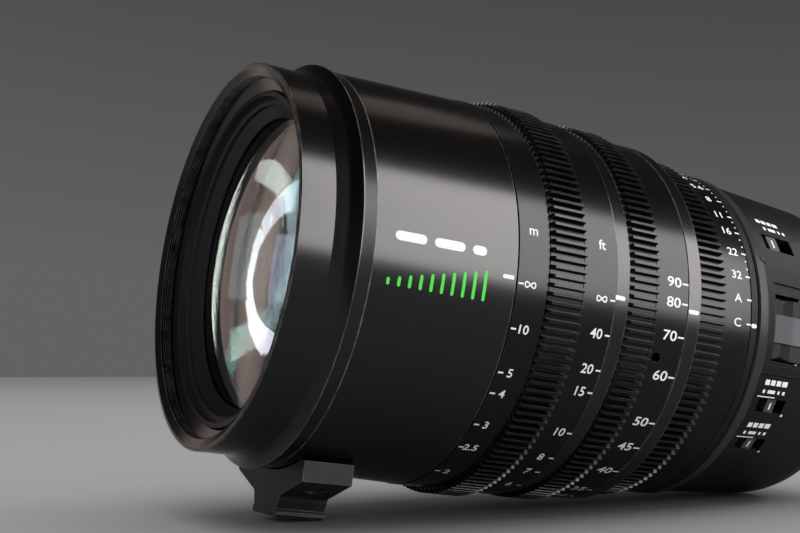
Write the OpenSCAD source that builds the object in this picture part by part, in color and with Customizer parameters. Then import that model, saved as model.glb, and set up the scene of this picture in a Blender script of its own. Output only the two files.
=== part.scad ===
// Cinema zoom lens with three geared rings, a support foot and a bayonet mount.
// The optical axis lies along X. The origin is the centre of the mount flange,
// +X points back to the camera body and +Z is up. The index marks face -Y.

/* [Front ring] */
// Radius of the front lip, which a clamp-on matte box grips
lip_r = 57; // [54:0.5:60]
// Wall of the lip at its very front
lip_wall = 1.2; // [0.8:0.1:2]
// Length of the plain cylinder that a matte box clamps
clamp_w = 10; // [6:0.5:11]
// How far the front ring widens between the lip and its collar
valley_step = 0.5; // [0:0.1:1]
// How far the crest of the collar stands above the barrel
collar_h = 0.9; // [0.4:0.1:3]
// Length of the front ring
hood_w = 20.9; // [20:0.1:30]
// Length of the bevel behind the crest of the collar
collar_bevel_w = 4.4; // [2:0.1:5]
// Length of the sweep that rises to the crest of the collar
collar_sweep_w = 3.3; // [2:0.1:4]
// Wall round the filter thread
filter_wall = 3.5; // [2.5:0.1:4.5]
// Length of the filter thread
filter_w = 3; // [2:0.5:5]
// How far the bore of the baffle ring steps in from the filter thread
seat_step = 3.7; // [3:0.1:5]

/* [Front barrel] */
// How far the front end of the barrel stands above the lip
barrel_step = 2.4; // [1.5:0.1:4]
// How far the rear end of the barrel lies below the metre strip
barrel_rear_step = 0.2; // [0:0.1:1]
// Length of the front barrel
barrel_w = 43.6; // [40:0.1:60]
// Wall of the front barrel
barrel_wall = 2.6; // [1.8:0.1:3.2]

/* [Rings] */
// Gear module that all three rings share
gear_module = 0.8; // [0.6:0.05:1]
// Number of teeth on the focus gear
focus_teeth = 154; // [148:1:158]
// Number of teeth on the zoom gear
zoom_teeth = 151; // [146:1:155]
// Number of teeth on the iris gear
iris_teeth = 141; // [138:1:145]
// Width of the metre strip in front of the focus gear
focus_front_w = 10.5; // [9:0.5:18]
// Width of the focus gear
focus_gear_w = 11.5; // [7:0.5:12]
// Width of the foot strip behind the focus gear
focus_rear_w = 11.5; // [8:0.5:16]
// Width of the front index ring
index_front_w = 5.3; // [4:0.1:9]
// Width of the zoom gear
zoom_gear_w = 10.2; // [7:0.1:12]
// Width of the focal length strip
zoom_strip_w = 11.8; // [9:0.1:18]
// Width of the rear index ring
index_rear_w = 5.4; // [4:0.1:10]
// Width of the iris gear
iris_gear_w = 11.8; // [8:0.1:13]
// Width of the aperture strip
iris_strip_w = 11.5; // [9:0.5:18]
// Wall of the iris ring, inside which the fixed tube lies
iris_ring_wall = 3.4; // [3:0.1:4]
// Wall of the fixed tube
tube_wall = 3; // [2:0.1:3.2]

/* [Rear body] */
// How far the rim of the rear housing stands above the aperture strip
rim_lift = 0.1; // [0:0.1:1.5]
// How much the rear housing narrows towards its cover
housing_taper = 2.6; // [1:0.1:3.5]
// Length of the rear housing
housing_w = 45; // [42:1:52]
// How far the control panel stands above the rear housing
panel_h = 0.8; // [0.4:0.1:1.2]
// Length of the rounded rear cover
cover_w = 15; // [12:0.5:20]
// Radius at the small end of the rear cover
cover_end_r = 38; // [36:0.5:42]
// Wall of the rear housing
housing_wall = 2.4; // [1.8:0.1:3]

/* [Mount] */
// Radius of the mount flange
flange_r = 33; // [30:0.5:35]
// Thickness of the mount flange
flange_w = 8; // [5:0.5:10]
// Radius of the bayonet barrel
bayonet_r = 21.7; // [20:0.1:23]
// Length of the bayonet barrel
bayonet_w = 5; // [4:0.1:6]
// Wall of the bayonet barrel
bayonet_wall = 1.4; // [1:0.1:2]
// How far the bayonet lugs stand out
lug_h = 1.7; // [1:0.1:2]
// Thickness of the bayonet lugs
lug_w = 1.6; // [1.2:0.1:2]

/* [Support foot] */
// Length of the foot along the axis
foot_w = 15.4; // [10:0.1:20]
// Distance from the front ring to the foot
foot_offset = 3.4; // [1:0.1:6]
// Half of the distance between the tips of the arms
foot_half = 24.4; // [23:0.1:32]
// Half of the width over which the saddle lies against the barrel
foot_grip_half = 22; // [20:0.5:22.5]
// Height of the faces at the ends of the arms
foot_arm_h = 5.8; // [4:0.1:8]
// Half width of the stem where the arms meet it
stem_half = 9.4; // [8:0.1:12]
// How far the foot reaches below the barrel
foot_drop = 13; // [10:0.5:20]
// Radius of the threaded socket in the foot
socket_r = 3.175; // [2.5:0.005:5]
// Depth of the threaded socket in the foot
socket_w = 9; // [6:0.5:10]

/* [Iris] */
// Radius of the fully open aperture
iris_open_r = 20.5; // [16:0.5:21]
// Outer radius of a blade when it is open
blade_outer_r = 31; // [29:0.5:31]
// Radius of the circle of blade pivots
pivot_circle_r = 34; // [33.5:0.1:35]
// Distance from a blade's pivot to its drive pin
drive_arm = 13; // [12:0.5:14]
// Thickness of a blade
blade_t = 0.2; // [0.15:0.05:0.2]
// Distance between the layers of blades
blade_step = 0.4; // [0.35:0.05:0.5]
// How far a blade turns from open to closed
blade_swing_angle = 30; // [20:1:32]
// How far the iris ring turns from closed to open
iris_turn_angle = 72; // [60:1:72]

/* [Controls] */
// Length of the zoom rocker
rocker_w = 26; // [20:1:28]
// Height of the zoom rocker
rocker_h = 20; // [14:1:21]
// Height of the raised pad on the rocker
rocker_pad_h = 8.8; // [6:0.1:12]
// Length of the slot of a speed switch
slot_w = 12; // [9:0.5:13]
// Height of the slot of a speed switch
slot_h = 5; // [4:0.5:6]
// Travel of the top switch between its two places
switch_travel = 4; // [3:0.5:5]

/* [Hidden] */

// Fits
run_gap = 0.3;
seat_gap = 0.05;
pin_gap = 0.1;
edge_chamfer = 0.3;
overrun = 1;
right_angle = 90;
smooth_fn = 180;
small_fn = 32;

// Stations along the axis, from the flange face forward
focus_w = focus_front_w + focus_gear_w + focus_rear_w;
zoom_w = zoom_gear_w + zoom_strip_w;
iris_w = iris_gear_w + iris_strip_w;
x_mount = -flange_w;
x_cover = x_mount - cover_w;
x_housing = x_cover - housing_w;
x_iris = x_housing - iris_w;
x_index_rear = x_iris - index_rear_w;
x_zoom = x_index_rear - zoom_w;
x_index_front = x_zoom - index_front_w;
x_focus = x_index_front - focus_w;
x_barrel = x_focus - barrel_w;
x_lip = x_barrel - hood_w;
iris_unit_lead = 4;
x_iris_unit = x_iris + iris_gear_w - iris_unit_lead;

// Gears: tip and root from the module and the number of teeth
tooth_depth_share = 2.25;
addendum_share = 1;
strip_step_share = 0.25;
tooth_h = tooth_depth_share * gear_module;
strip_step = strip_step_share * gear_module;
function tip_r(teeth) = gear_module * (teeth / 2 + addendum_share);
function root_r(teeth) = tip_r(teeth) - tooth_h;
focus_strip_r = root_r(focus_teeth);
focus_rear_r = focus_strip_r + strip_step;
zoom_strip_r = root_r(zoom_teeth) + strip_step;
iris_strip_r = root_r(iris_teeth) - strip_step;
index_front_r = (focus_rear_r + zoom_strip_r) / 2 + strip_step;
tooth_tip_share = 0.14;
tooth_root_share = 0.28;
tooth_bevel_share = 0.8;
tooth_face_share = 0.45;
tooth_bevel = tooth_bevel_share * gear_module;
strip_relief = 0.25;

// Bearing surfaces of the rings on the fixed tube
tube_r = iris_strip_r - iris_ring_wall - run_gap;
land_r = tube_r + run_gap;
land_w = 3;
ring_wall = 2.8;
tube_bore_r = tube_r - tube_wall;

// Front ring and what sits in it
filter_r = lip_r - filter_wall;
seat_r = filter_r - seat_step;
valley_r = lip_r + valley_step;
barrel_front_r = lip_r + barrel_step;
barrel_rear_r = focus_strip_r - barrel_rear_step;
collar_r = barrel_front_r + collar_h;
crest_w = 0.3;
sweep_steps = 8;
sweep_curve_share = 1.7;
lip_bevel_w = 1.2;
funnel_w = 1.8;
seat_w = 6;
hood_wall = 3.2;
spigot_w = 6;
x_thread_end = x_lip + lip_bevel_w + filter_w;
x_seat = x_thread_end + funnel_w;
baffle_proud = 0.8;
x_baffle = x_seat - baffle_proud;
baffle_w = 3.8;
baffle_step_share = 0.42;
x_cell = x_baffle + baffle_w;
barrel_bore_r = barrel_front_r - barrel_wall;
barrel_rear_bore_r = barrel_rear_r - barrel_wall;
spigot_r = barrel_bore_r - seat_gap;

// Front cell and its glass
cell_gap = 0.1;
cell_wall = 3.3;
glass_lip = 3;
retainer_lap = 1.8;
third_glass_step = 5.4;
glass_steps = 14;
cell_r = seat_r - cell_gap;
front_glass_r = cell_r - cell_wall;
front_clear_r = front_glass_r - glass_lip;
retainer_w = 4.2;
retainer_r = front_glass_r + retainer_lap;
retainer_relief = 1.2;
x_front_glass = x_cell + retainer_w;
front_glass_edge_w = 6;
front_glass_sag = 7;
barrel_rib_offset = 23;
x_barrel_rib = x_barrel + barrel_rib_offset;
barrel_rib_w = 2.5;
cell_flange_w = 3.5;
third_glass_r = front_glass_r - third_glass_step;

// Fixed tube
tube_front_w = 17;
tube_flange_w = 3.5;
barrel_flange_w = 3;
x_tube = x_focus - tube_front_w;
x_tube_flange = x_focus - barrel_flange_w - tube_flange_w;
tube_rear_w = 3;
x_tube_end = x_housing + tube_rear_w;

// Keys of the turning rings, and the arc slots that they pass through
key_w = 5;
key_angle = 5;
key_centre_angle = 150;
slot_play_angle = 2;
zoom_back_angle = 8;
zoom_fore_angle = 78;

// Zoom cam tube and the moving groups
cam_r = tube_bore_r - run_gap;
cam_wall = 2.6;
cam_bore_r = cam_r - cam_wall;
cam_start = 6;
cam_end_gap = 4;
x_cam = x_focus + cam_start;
x_cam_end = x_iris_unit - cam_end_gap;
cam_w = x_cam_end - x_cam;
group_r = cam_bore_r - run_gap;
group_wall = 3;
group_bore_r = group_r - group_wall;
focus_group_r = tube_bore_r - run_gap;
focus_group_w = 11;
focus_group_start = 1.5;
x_focus_group = x_tube + focus_group_start;
variator_w = 18;
variator_start = 28;
x_variator = x_cam + variator_start;
compensator_w = 9;
compensator_back = 5;
x_compensator = x_cam_end - compensator_back - compensator_w;

// Iris
blade_count = 9;
iris_outer_r = tube_bore_r - seat_gap;
iris_plate_w = 1.6;
iris_wall = 2;
iris_stack_w = blade_count * blade_step;
iris_drive_w = 2;
iris_gap = 0.25;
x_blades = x_iris_unit + iris_plate_w + iris_gap;
x_drive = x_blades + iris_stack_w + iris_gap;
x_iris_cover = x_drive + iris_drive_w + iris_gap;
x_drive_key = x_drive - (key_w - iris_drive_w) / 2;
x_zoom_key = x_zoom + land_w / 3;
pivot_pin_r = 1;
drive_pin_r = 0.7;
slot_gap = 0.25;
open_tail_angle = 97;
closed_tail_angle = open_tail_angle - blade_swing_angle;
drive_ledge = 1.6;
drive_inner_r = pivot_circle_r - drive_ledge;
slot_steps = 16;
slot_share = 1.03;
blade_steps = 16;
drive_outer_r = iris_outer_r - iris_wall - run_gap;
blade_ear_r = 2.4;
blade_arc_angle = 88;
blade_heel_angle = 4;

// Relay cell
relay_r = 30;
relay_wall = 3;
relay_bore_r = relay_r - relay_wall;
relay_rear_bore_r = 20;
x_relay = x_iris_cover + iris_plate_w;
relay_flange_w = 3;
relay_end_gap = 2;
relay_w = x_mount - x_relay - relay_end_gap;
relay_front_glass_r = relay_bore_r - seat_gap;
relay_rear_glass_r = relay_rear_bore_r - seat_gap;

// Rear housing, its panel and its controls
rim_r = iris_strip_r + rim_lift;
index_collar_w = 2.6;
rim_groove_w = 1;
rim_groove_h = 1.4;
rim_w = 4;
rim_step = 0.9;
rim_round = 0.5;
x_rim = x_housing + index_collar_w + rim_groove_w;
x_body = x_rim + rim_w;
housing_rear_r = rim_r - rim_step - housing_taper;
stud_r = 1.4;
stud_h = 0.2;
stud_angle = 65.8;
panel_angle = 86;
panel_span_angle = 36.5;
panel_margin = 2.5;
x_panel_end = x_cover - panel_margin;
panel_line_angle = 74.3;
panel_line_span_angle = 1.3;
panel_line_h = 0.7;
panel_line_start = 2.7;
panel_line_w = 24;
x_panel_line = x_body + panel_line_start;
rocker_gap = 0.6;
bezel_wall = 1.2;
bezel_floor_w = 1.6;
bezel_depth = 11;
rocker_start = 24;
x_rocker = x_housing + rocker_start;
z_rocker = 1;
bezel_half_w = rocker_w / 2 + rocker_gap + bezel_wall;
bezel_half_h = rocker_h / 2 + rocker_gap + bezel_wall;
rocker_pin_r = 1;
rocker_sink = 1.6;
y_rocker_pin = rocker_sink - housing_rear_r;
rocker_t = 5;
rocker_round = 2;
rocker_steps = 6;
rocker_pad_lift = 0.8;
rocker_hub_r = 1.65;
top_switch_angle = 56.8;
top_switch_start = 18.3;
x_top_switch = x_housing + top_switch_start;
top_slot_w = 13;
top_slot_h = 6.2;
speed_start = 17;
x_speed = x_housing + speed_start;
zoom_speed_angle = 115.6;
focus_speed_angle = 131.4;
knob_w = 3.6;
plate_t = 1.2;
plate_w = 24;
plate_foot_w = 2;
top_plate_angle = 24;
speed_plate_angle = 34;
top_knob_w = 4;

// Board and motors
board_t = 1.6;
board_inner_r = 32;
board_gap = 0.3;
board_outer_r = housing_rear_r - housing_wall - board_gap;
motor_r = 6.2;
motor_w = 26;
motor_circle_r = 40.2;
motor_shaft_r = 1;
motor_shaft_w = 6;
zoom_motor_angle = 20;
focus_motor_angle = -25;

// Rear cover and mount
cover_wall = 2.6;
cover_rim_w = 2;
cover_rim_h = 3;
cover_end_w = 2;
cover_steps = 10;
cover_bore_r = relay_r + seat_gap;
mount_bore_r = bayonet_r - bayonet_wall;
lug_count = 3;
lug_angle = 58;
screw_circle_r = 27.6;
screw_count = 4;
screw_start_angle = 45;
screw_r = 1;
screw_head_r = 2;
screw_head_w = 1.3;
screw_w = 9.6;
screw_sink = 0.3;
contact_angle = 64;
contact_centre_angle = 180;
contact_count = 10;
contact_block_w = 7;
contact_t = 3;
contact_r = 0.55;
contact_proud = 0.5;
mount_baffle_w = 1.5;
baffle_window_y = 15;
baffle_window_z = 10.5;
foot_screw_y = 17;
foot_screw_r = 1.5;
foot_screw_head_r = 2.75;
foot_screw_head_w = 2.4;
foot_screw_reach = 5;
foot_chamfer = 0.8;
foot_fillet = 1.8;
foot_fillet_steps = 5;
foot_slope_share = 0.35;
stem_taper = 1;
lever_r = 1.6;
lever_w = 3;
lever_angle = 104.4;
saddle_r = barrel_front_r + (barrel_rear_r - barrel_front_r) * (foot_offset + foot_w) / barrel_w + seat_gap;
x_foot = x_barrel + foot_offset;
z_foot = -(saddle_r + foot_drop);
z_arm_top = -sqrt(saddle_r * saddle_r - foot_grip_half * foot_grip_half);
z_arm = z_arm_top - foot_arm_h;
z_screw_head = -sqrt(saddle_r * saddle_r - foot_screw_y * foot_screw_y) - foot_screw_head_w;

// A list of points in the opposite order
function reversed(list) = [for (i = [len(list) - 1:-1:0]) list[i]];

// Solid of revolution round the optical axis, from points [radius, station]
module turned(profile) {
    rotate([0, 90, 0])
        rotate_extrude($fn = smooth_fn)
            polygon(profile);
}

// Plain ring round the optical axis
module tube(outer_r, inner_r, x, w) {
    turned([[inner_r, x], [outer_r, x], [outer_r, x + w], [inner_r, x + w]]);
}

// Cylinder along the optical axis
module rod(r, x, w, y = 0, z = 0, fn = small_fn) {
    translate([x, y, z])
        rotate([0, 90, 0])
            cylinder(r = r, h = w, $fn = fn);
}

// Place on a circle round the axis: angle from +Z towards -Y
module at_angle(angle) {
    rotate([angle, 0, 0])
        children();
}

// Part of a solid of revolution, centred on an angle from +Z towards -Y
module arc_turned(profile, centre, span) {
    rotate([centre - 90, 0, 0])
        rotate([0, 90, 0])
            rotate([0, 0, 90 - span / 2 + 180])
                rotate_extrude(angle = span, $fn = smooth_fn)
                    polygon(profile);
}

// Part of a plain ring
module arc_ring(outer_r, inner_r, x, w, centre, span) {
    arc_turned([[inner_r, x], [outer_r, x], [outer_r, x + w], [inner_r, x + w]], centre, span);
}

// Outline of a gear as seen along the axis
function gear_outline(teeth) = [
    for (i = [0:teeth - 1])
        let (pitch = 360 / teeth, tip = tip_r(teeth), root = root_r(teeth) - seat_gap)
            for (p = [[root, -tooth_root_share], [tip, -tooth_tip_share],
                      [tip, tooth_tip_share], [root, tooth_root_share]])
                let (a = (i + p[1]) * pitch)
                    [p[0] * cos(a), p[0] * sin(a)]
];

// Band of straight teeth with bevelled front ends
module gear_band(teeth, x, w) {
    intersection() {
        translate([x, 0, 0])
            rotate([90, 0, 90])
                linear_extrude(height = w)
                    difference() {
                        polygon(gear_outline(teeth));
                        circle(r = root_r(teeth) - ring_wall / 2, $fn = smooth_fn);
                    }
        turned([
            [root_r(teeth) - ring_wall, x - overrun],
            [root_r(teeth) + tooth_h * tooth_face_share, x - overrun],
            [root_r(teeth) + tooth_h * tooth_face_share, x],
            [tip_r(teeth) + seat_gap, x + tooth_bevel],
            [tip_r(teeth) + seat_gap, x + w - tooth_bevel / 2],
            [tip_r(teeth) - tooth_h / 4, x + w + seat_gap],
            [root_r(teeth) - ring_wall, x + w + seat_gap]
        ]);
    }
}

// Turning ring: an outer wall that runs on the fixed tube with a land at each end
module ring_shell(front_r, gear_x, gear_w, gear_r, rear_r, x, w) {
    wall_r = min(front_r, gear_r, rear_r) - ring_wall;
    bore_r = max(wall_r, land_r);
    turned(concat(
        [[land_r, x + run_gap / 2]],
        gear_x > x ? [[front_r, x + run_gap / 2], [front_r, gear_x - 2 * strip_relief]] : [],
        gear_x > x ? [[front_r - strip_relief, gear_x - 2 * strip_relief], [front_r - strip_relief, gear_x]] : [],
        [[gear_r, max(gear_x, x + run_gap / 2)], [gear_r, gear_x + gear_w]],
        [[rear_r, gear_x + gear_w], [rear_r, x + w - run_gap / 2]],
        [[land_r, x + w - run_gap / 2], [land_r, x + w - land_w]],
        bore_r > land_r ? [[bore_r, x + w - land_w], [bore_r, x + land_w]] : [],
        [[land_r, x + land_w]]
    ));
}

// Key on a turning ring, which reaches through the fixed tube
module ring_key(x, inner_r) {
    arc_ring(land_r + ring_wall / 2, inner_r, x, key_w, key_centre_angle, key_angle);
}

// Arc slot in the fixed tube for a key that turns from back to fore
module key_slot(x, back, fore) {
    arc_ring(tube_r + overrun, tube_bore_r - overrun, x - run_gap, key_w + 2 * run_gap,
        key_centre_angle + (back - fore) / 2, back + fore + key_angle + slot_play_angle);
}

// Arc of a lens surface from the axis to the rim, bulging by sag in the direction of side
function sphere_r(r, sag) = (r * r + sag * sag) / (2 * abs(sag));
function glass_arc(r, x, sag, side) =
    let (ball = sphere_r(r, sag), half = asin(r / ball))
        [for (i = [0:glass_steps])
            let (a = half * i / glass_steps)
                [ball * sin(a), x + side * sign(sag) * (ball * cos(a) - ball * cos(half))]];

// Lens element: a disc whose faces bulge out by their sags, or cave in where a sag is negative
module glass(r, x, edge_w, front_sag, rear_sag) {
    turned(concat(
        glass_arc(r, x, front_sag, -1),
        reversed(glass_arc(r, x + edge_w, rear_sag, 1))
    ));
}

// Lip, filter thread seat, and a collar with a swept front and a long bevel behind its crest
module front_ring() {
    x_crest = x_barrel - collar_bevel_w;
    sweep = [for (i = [0:sweep_steps])
        let (t = i / sweep_steps)
            [valley_r + (collar_r - valley_r) * pow(t, sweep_curve_share), x_crest - collar_sweep_w * (1 - t)]];
    color("#2b2725")
        turned(concat(
            [[lip_r - lip_wall, x_lip], [lip_r - lip_wall / 4, x_lip], [lip_r, x_lip + lip_wall / 4]],
            [[lip_r, x_lip + clamp_w]],
            sweep,
            [[collar_r, x_crest + crest_w]],
            [[barrel_front_r - seat_gap, x_barrel], [spigot_r, x_barrel], [spigot_r, x_barrel + spigot_w]],
            [[spigot_r - hood_wall, x_barrel + spigot_w], [spigot_r - hood_wall, x_seat + seat_w]],
            [[seat_r, x_seat + seat_w], [seat_r, x_seat], [filter_r, x_thread_end]],
            [[filter_r, x_lip + lip_bevel_w]]
        ));
}

// Stepped light baffle in front of the glass
module baffle_ring() {
    inner_r = front_glass_r;
    step = (seat_r - inner_r) * baffle_step_share;
    color("#161518")
        turned([
            [seat_r - seat_gap, x_baffle],
            [seat_r - seat_gap, x_cell],
            [inner_r, x_cell],
            [inner_r, x_baffle + baffle_w * 2 / 3],
            [inner_r + step / 2, x_baffle + baffle_w / 2],
            [seat_r - step, x_baffle + baffle_w / 2],
            [seat_r - step, x_baffle]
        ]);
}

// Ring that holds the front glass in its cell
module front_retainer() {
    color("#1b1a1e")
        turned([
            [front_glass_r - seat_gap, x_cell],
            [retainer_r - seat_gap, x_cell],
            [retainer_r - seat_gap, x_front_glass],
            [front_glass_r, x_front_glass],
            [front_clear_r, x_front_glass - retainer_relief],
            [front_clear_r, x_front_glass - 1.4 * retainer_relief]
        ]);
}

// Cell of the fixed front group
module front_cell() {
    x_end = x_barrel_rib;
    x_second = x_front_glass + front_glass_edge_w;
    color("#232226")
        turned([
            [cell_r, x_cell],
            [cell_r, x_end - cell_flange_w],
            [barrel_bore_r - seat_gap, x_end - cell_flange_w],
            [barrel_bore_r - seat_gap, x_end],
            [third_glass_r - 2 * barrel_rib_w, x_end],
            [third_glass_r - 2 * barrel_rib_w, x_end - barrel_rib_w],
            [third_glass_r, x_end - barrel_rib_w],
            [third_glass_r, x_second + barrel_rib_w],
            [front_glass_r + seat_gap, x_second + barrel_rib_w],
            [front_glass_r + seat_gap, x_front_glass],
            [retainer_r, x_front_glass],
            [retainer_r, x_cell]
        ]);
}

module front_element() {
    color("#9fc4cf")
        glass(front_glass_r, x_front_glass, front_glass_edge_w, front_glass_sag, -front_glass_sag / 2);
}

module second_element() {
    color("#a9c6cc")
        glass(third_glass_r - seat_gap, x_front_glass + front_glass_edge_w + barrel_rib_w + seat_gap,
            front_glass_edge_w / 2, front_glass_sag / 3, front_glass_sag / 7);
}

module third_element() {
    color("#a9c6cc")
        glass(third_glass_r - seat_gap, x_barrel_rib - barrel_rib_w - front_glass_edge_w, front_glass_edge_w,
            -front_glass_sag / 7, -front_glass_sag / 2);
}

// Front barrel with its inner rib and its rear flange
module front_barrel() {
    difference() {
        color("#2b2725")
            turned([
                [barrel_bore_r, x_barrel],
                [barrel_front_r, x_barrel],
                [barrel_rear_r, x_focus - run_gap],
                [barrel_rear_r - run_gap, x_focus],
                [tube_r + seat_gap, x_focus],
                [tube_r + seat_gap, x_focus - barrel_flange_w],
                [barrel_rear_bore_r, x_focus - barrel_flange_w],
                [barrel_rear_bore_r, x_tube_flange - seat_gap],
                [barrel_bore_r, x_barrel_rib + barrel_rib_w],
                [cell_r + seat_gap, x_barrel_rib + barrel_rib_w],
                [cell_r + seat_gap, x_barrel_rib],
                [barrel_bore_r, x_barrel_rib]
            ]);
        foot_screw_places()
            cylinder(r = foot_screw_r + seat_gap, h = foot_screw_head_w + foot_screw_reach + overrun, $fn = small_fn);
    }
}

// Places of the foot's screws, at the seat of their heads, pointing up
module foot_screw_places() {
    for (side = [-1, 1])
        translate([x_foot + foot_w / 2, side * foot_screw_y, z_screw_head])
            children();
}

// Underside of an arm, from its tip to the stem: a slope that ends in a fillet
function foot_flank(side) =
    let (y_throat = stem_half + foot_fillet,
         z_throat = z_arm - (foot_half - y_throat) * foot_slope_share)
        concat(
            [[side * foot_half, z_arm]],
            [for (i = [0:foot_fillet_steps])
                let (t = right_angle * i / foot_fillet_steps)
                    [side * (y_throat - foot_fillet * sin(t)), z_throat - foot_fillet * (1 - cos(t))]]
        );

// Saddle foot: arms that hug the barrel, a tapered stem and a flat base
module support_foot() {
    neck_half = stem_half - stem_taper;
    base_half = neck_half + foot_chamfer;
    outline = concat(
        [[-foot_half, z_arm_top]],
        foot_flank(-1),
        [[-neck_half, z_foot + 3 * foot_chamfer]],
        [[-base_half, z_foot + 2 * foot_chamfer], [-base_half, z_foot + foot_chamfer]],
        [[-base_half + foot_chamfer, z_foot], [base_half - foot_chamfer, z_foot]],
        [[base_half, z_foot + foot_chamfer], [base_half, z_foot + 2 * foot_chamfer]],
        [[neck_half, z_foot + 3 * foot_chamfer]],
        reversed(foot_flank(1)),
        [[foot_half, z_arm_top]]
    );
    color("#3a3a3c")
        difference() {
            translate([x_foot, 0, 0])
                rotate([90, 0, 90])
                    linear_extrude(height = foot_w)
                        polygon(outline);
            rod(saddle_r, x_foot - overrun, foot_w + 2 * overrun, fn = smooth_fn);
            translate([x_foot + foot_w / 2, 0, z_foot - overrun])
                cylinder(r = socket_r, h = socket_w + overrun, $fn = small_fn);
            foot_screw_places() {
                translate([0, 0, -foot_drop])
                    cylinder(r = foot_screw_head_r + seat_gap, h = foot_drop, $fn = small_fn);
                cylinder(r = foot_screw_r + seat_gap, h = foot_drop, $fn = small_fn);
            }
        }
}

module foot_screws() {
    color("#8a8a8c")
        foot_screw_places() {
            difference() {
                translate([0, 0, -foot_screw_head_w])
                    cylinder(r = foot_screw_head_r, h = foot_screw_head_w, $fn = small_fn);
                translate([0, 0, -foot_screw_head_w - overrun])
                    cylinder(r = foot_screw_r / 1.2, h = foot_screw_head_w / 2 + overrun, $fn = 6);
            }
            cylinder(r = foot_screw_r, h = foot_screw_reach, $fn = small_fn);
        }
}

// Fixed tube that carries the whole lens
module main_tube() {
    color("#3b3c40")
        difference() {
            turned([
                [tube_bore_r, x_tube],
                [tube_r, x_tube],
                [tube_r, x_tube_flange],
                [barrel_rear_bore_r - seat_gap, x_tube_flange],
                [barrel_rear_bore_r - seat_gap, x_tube_flange + tube_flange_w],
                [tube_r, x_tube_flange + tube_flange_w],
                [tube_r, x_tube_end],
                [tube_bore_r, x_tube_end]
            ]);
            key_slot(x_zoom_key, zoom_back_angle, zoom_fore_angle);
            key_slot(x_drive_key, iris_turn_angle, 0);
        }
}

module focus_ring() {
    gear_x = x_focus + focus_front_w;
    color("#26262a") {
        ring_shell(focus_strip_r, gear_x, focus_gear_w, focus_strip_r, focus_rear_r, x_focus, focus_w);
        gear_band(focus_teeth, gear_x, focus_gear_w);
    }
}

// Fixed index ring between the focus and the zoom ring
module index_ring_front() {
    color("#34302d")
        turned([
            [tube_r + seat_gap, x_index_front],
            [focus_rear_r - run_gap, x_index_front],
            [index_front_r, x_index_front + run_gap],
            [index_front_r - run_gap, x_zoom - run_gap],
            [index_front_r - 2 * run_gap, x_zoom],
            [tube_r + seat_gap, x_zoom]
        ]);
}

module zoom_ring() {
    color("#26262a")
        difference() {
            union() {
                ring_shell(zoom_strip_r, x_zoom, zoom_gear_w, root_r(zoom_teeth), zoom_strip_r, x_zoom, zoom_w);
                gear_band(zoom_teeth, x_zoom + run_gap / 2, zoom_gear_w - run_gap / 2);
                ring_key(x_zoom_key, cam_r + seat_gap);
            }
            at_angle(lever_angle)
                translate([x_zoom + zoom_gear_w + lever_w, 0, land_r])
                    cylinder(r = lever_r, h = zoom_strip_r - land_r + overrun, $fn = small_fn);
        }
}

// Fixed index ring between the zoom and the iris ring
module index_ring_rear() {
    color("#34302d")
        turned([
            [tube_r + seat_gap, x_index_rear],
            [zoom_strip_r - run_gap, x_index_rear],
            [zoom_strip_r, x_index_rear + run_gap],
            [zoom_strip_r, x_iris - 2 * run_gap],
            [zoom_strip_r - 2 * run_gap, x_iris],
            [tube_r + seat_gap, x_iris]
        ]);
}

module iris_ring() {
    color("#26262a") {
        ring_shell(iris_strip_r, x_iris, iris_gear_w, root_r(iris_teeth), iris_strip_r, x_iris, iris_w);
        gear_band(iris_teeth, x_iris + run_gap / 2, iris_gear_w - run_gap / 2);
        ring_key(x_drive_key, tube_bore_r + run_gap);
    }
}

// Focus group, which slides in the fixed tube
module focus_cell() {
    color("#2f3034")
        tube(focus_group_r, focus_group_r - 2 * group_wall, x_focus_group, focus_group_w);
}

module focus_element() {
    color("#a9c6cc")
        glass(focus_group_r - 2 * group_wall - seat_gap, x_focus_group + seat_gap, focus_group_w / 2,
            -front_glass_sag / 7, -front_glass_sag / 3);
}

// Cam tube, which turns with the zoom ring
module zoom_cam_tube() {
    color("#6d6f74")
        tube(cam_r, cam_bore_r, x_cam, cam_w);
}

module group_cell(x, w) {
    color("#2f3034")
        tube(group_r, group_bore_r, x, w);
}

module variator_cell() {
    group_cell(x_variator, variator_w);
}

module variator_front_element() {
    color("#a9c6cc")
        glass(group_bore_r - seat_gap, x_variator + seat_gap, variator_w / 4,
            -front_glass_sag / 7, -front_glass_sag / 3);
}

module variator_rear_element() {
    color("#a9c6cc")
        glass(group_bore_r - seat_gap, x_variator + variator_w * 3 / 4 - seat_gap, variator_w / 4,
            front_glass_sag / 3, front_glass_sag / 7);
}

module compensator_cell() {
    group_cell(x_compensator, compensator_w);
}

module compensator_element() {
    color("#a9c6cc")
        glass(group_bore_r - seat_gap, x_compensator + compensator_w / 3, compensator_w / 2,
            front_glass_sag / 3, -front_glass_sag / 7);
}

// Iris: front plate with the pivot holes and the outer wall
module iris_housing() {
    color("#3b3c40")
        difference() {
            turned([
                [iris_open_r, x_iris_unit],
                [iris_outer_r, x_iris_unit],
                [iris_outer_r, x_drive - iris_gap / 2],
                [iris_outer_r - iris_wall, x_drive - iris_gap / 2],
                [iris_outer_r - iris_wall, x_iris_unit + iris_plate_w],
                [iris_open_r, x_iris_unit + iris_plate_w]
            ]);
            for (i = [0:blade_count - 1])
                rotate([i * 360 / blade_count, 0, 0])
                    rod(pivot_pin_r + pin_gap, x_iris_unit - overrun, iris_plate_w + 2 * overrun,
                        y = pivot_circle_r);
        }
}

module iris_cover() {
    color("#3b3c40")
        tube(iris_outer_r, iris_open_r + iris_wall, x_iris_cover, iris_plate_w);
}

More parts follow.
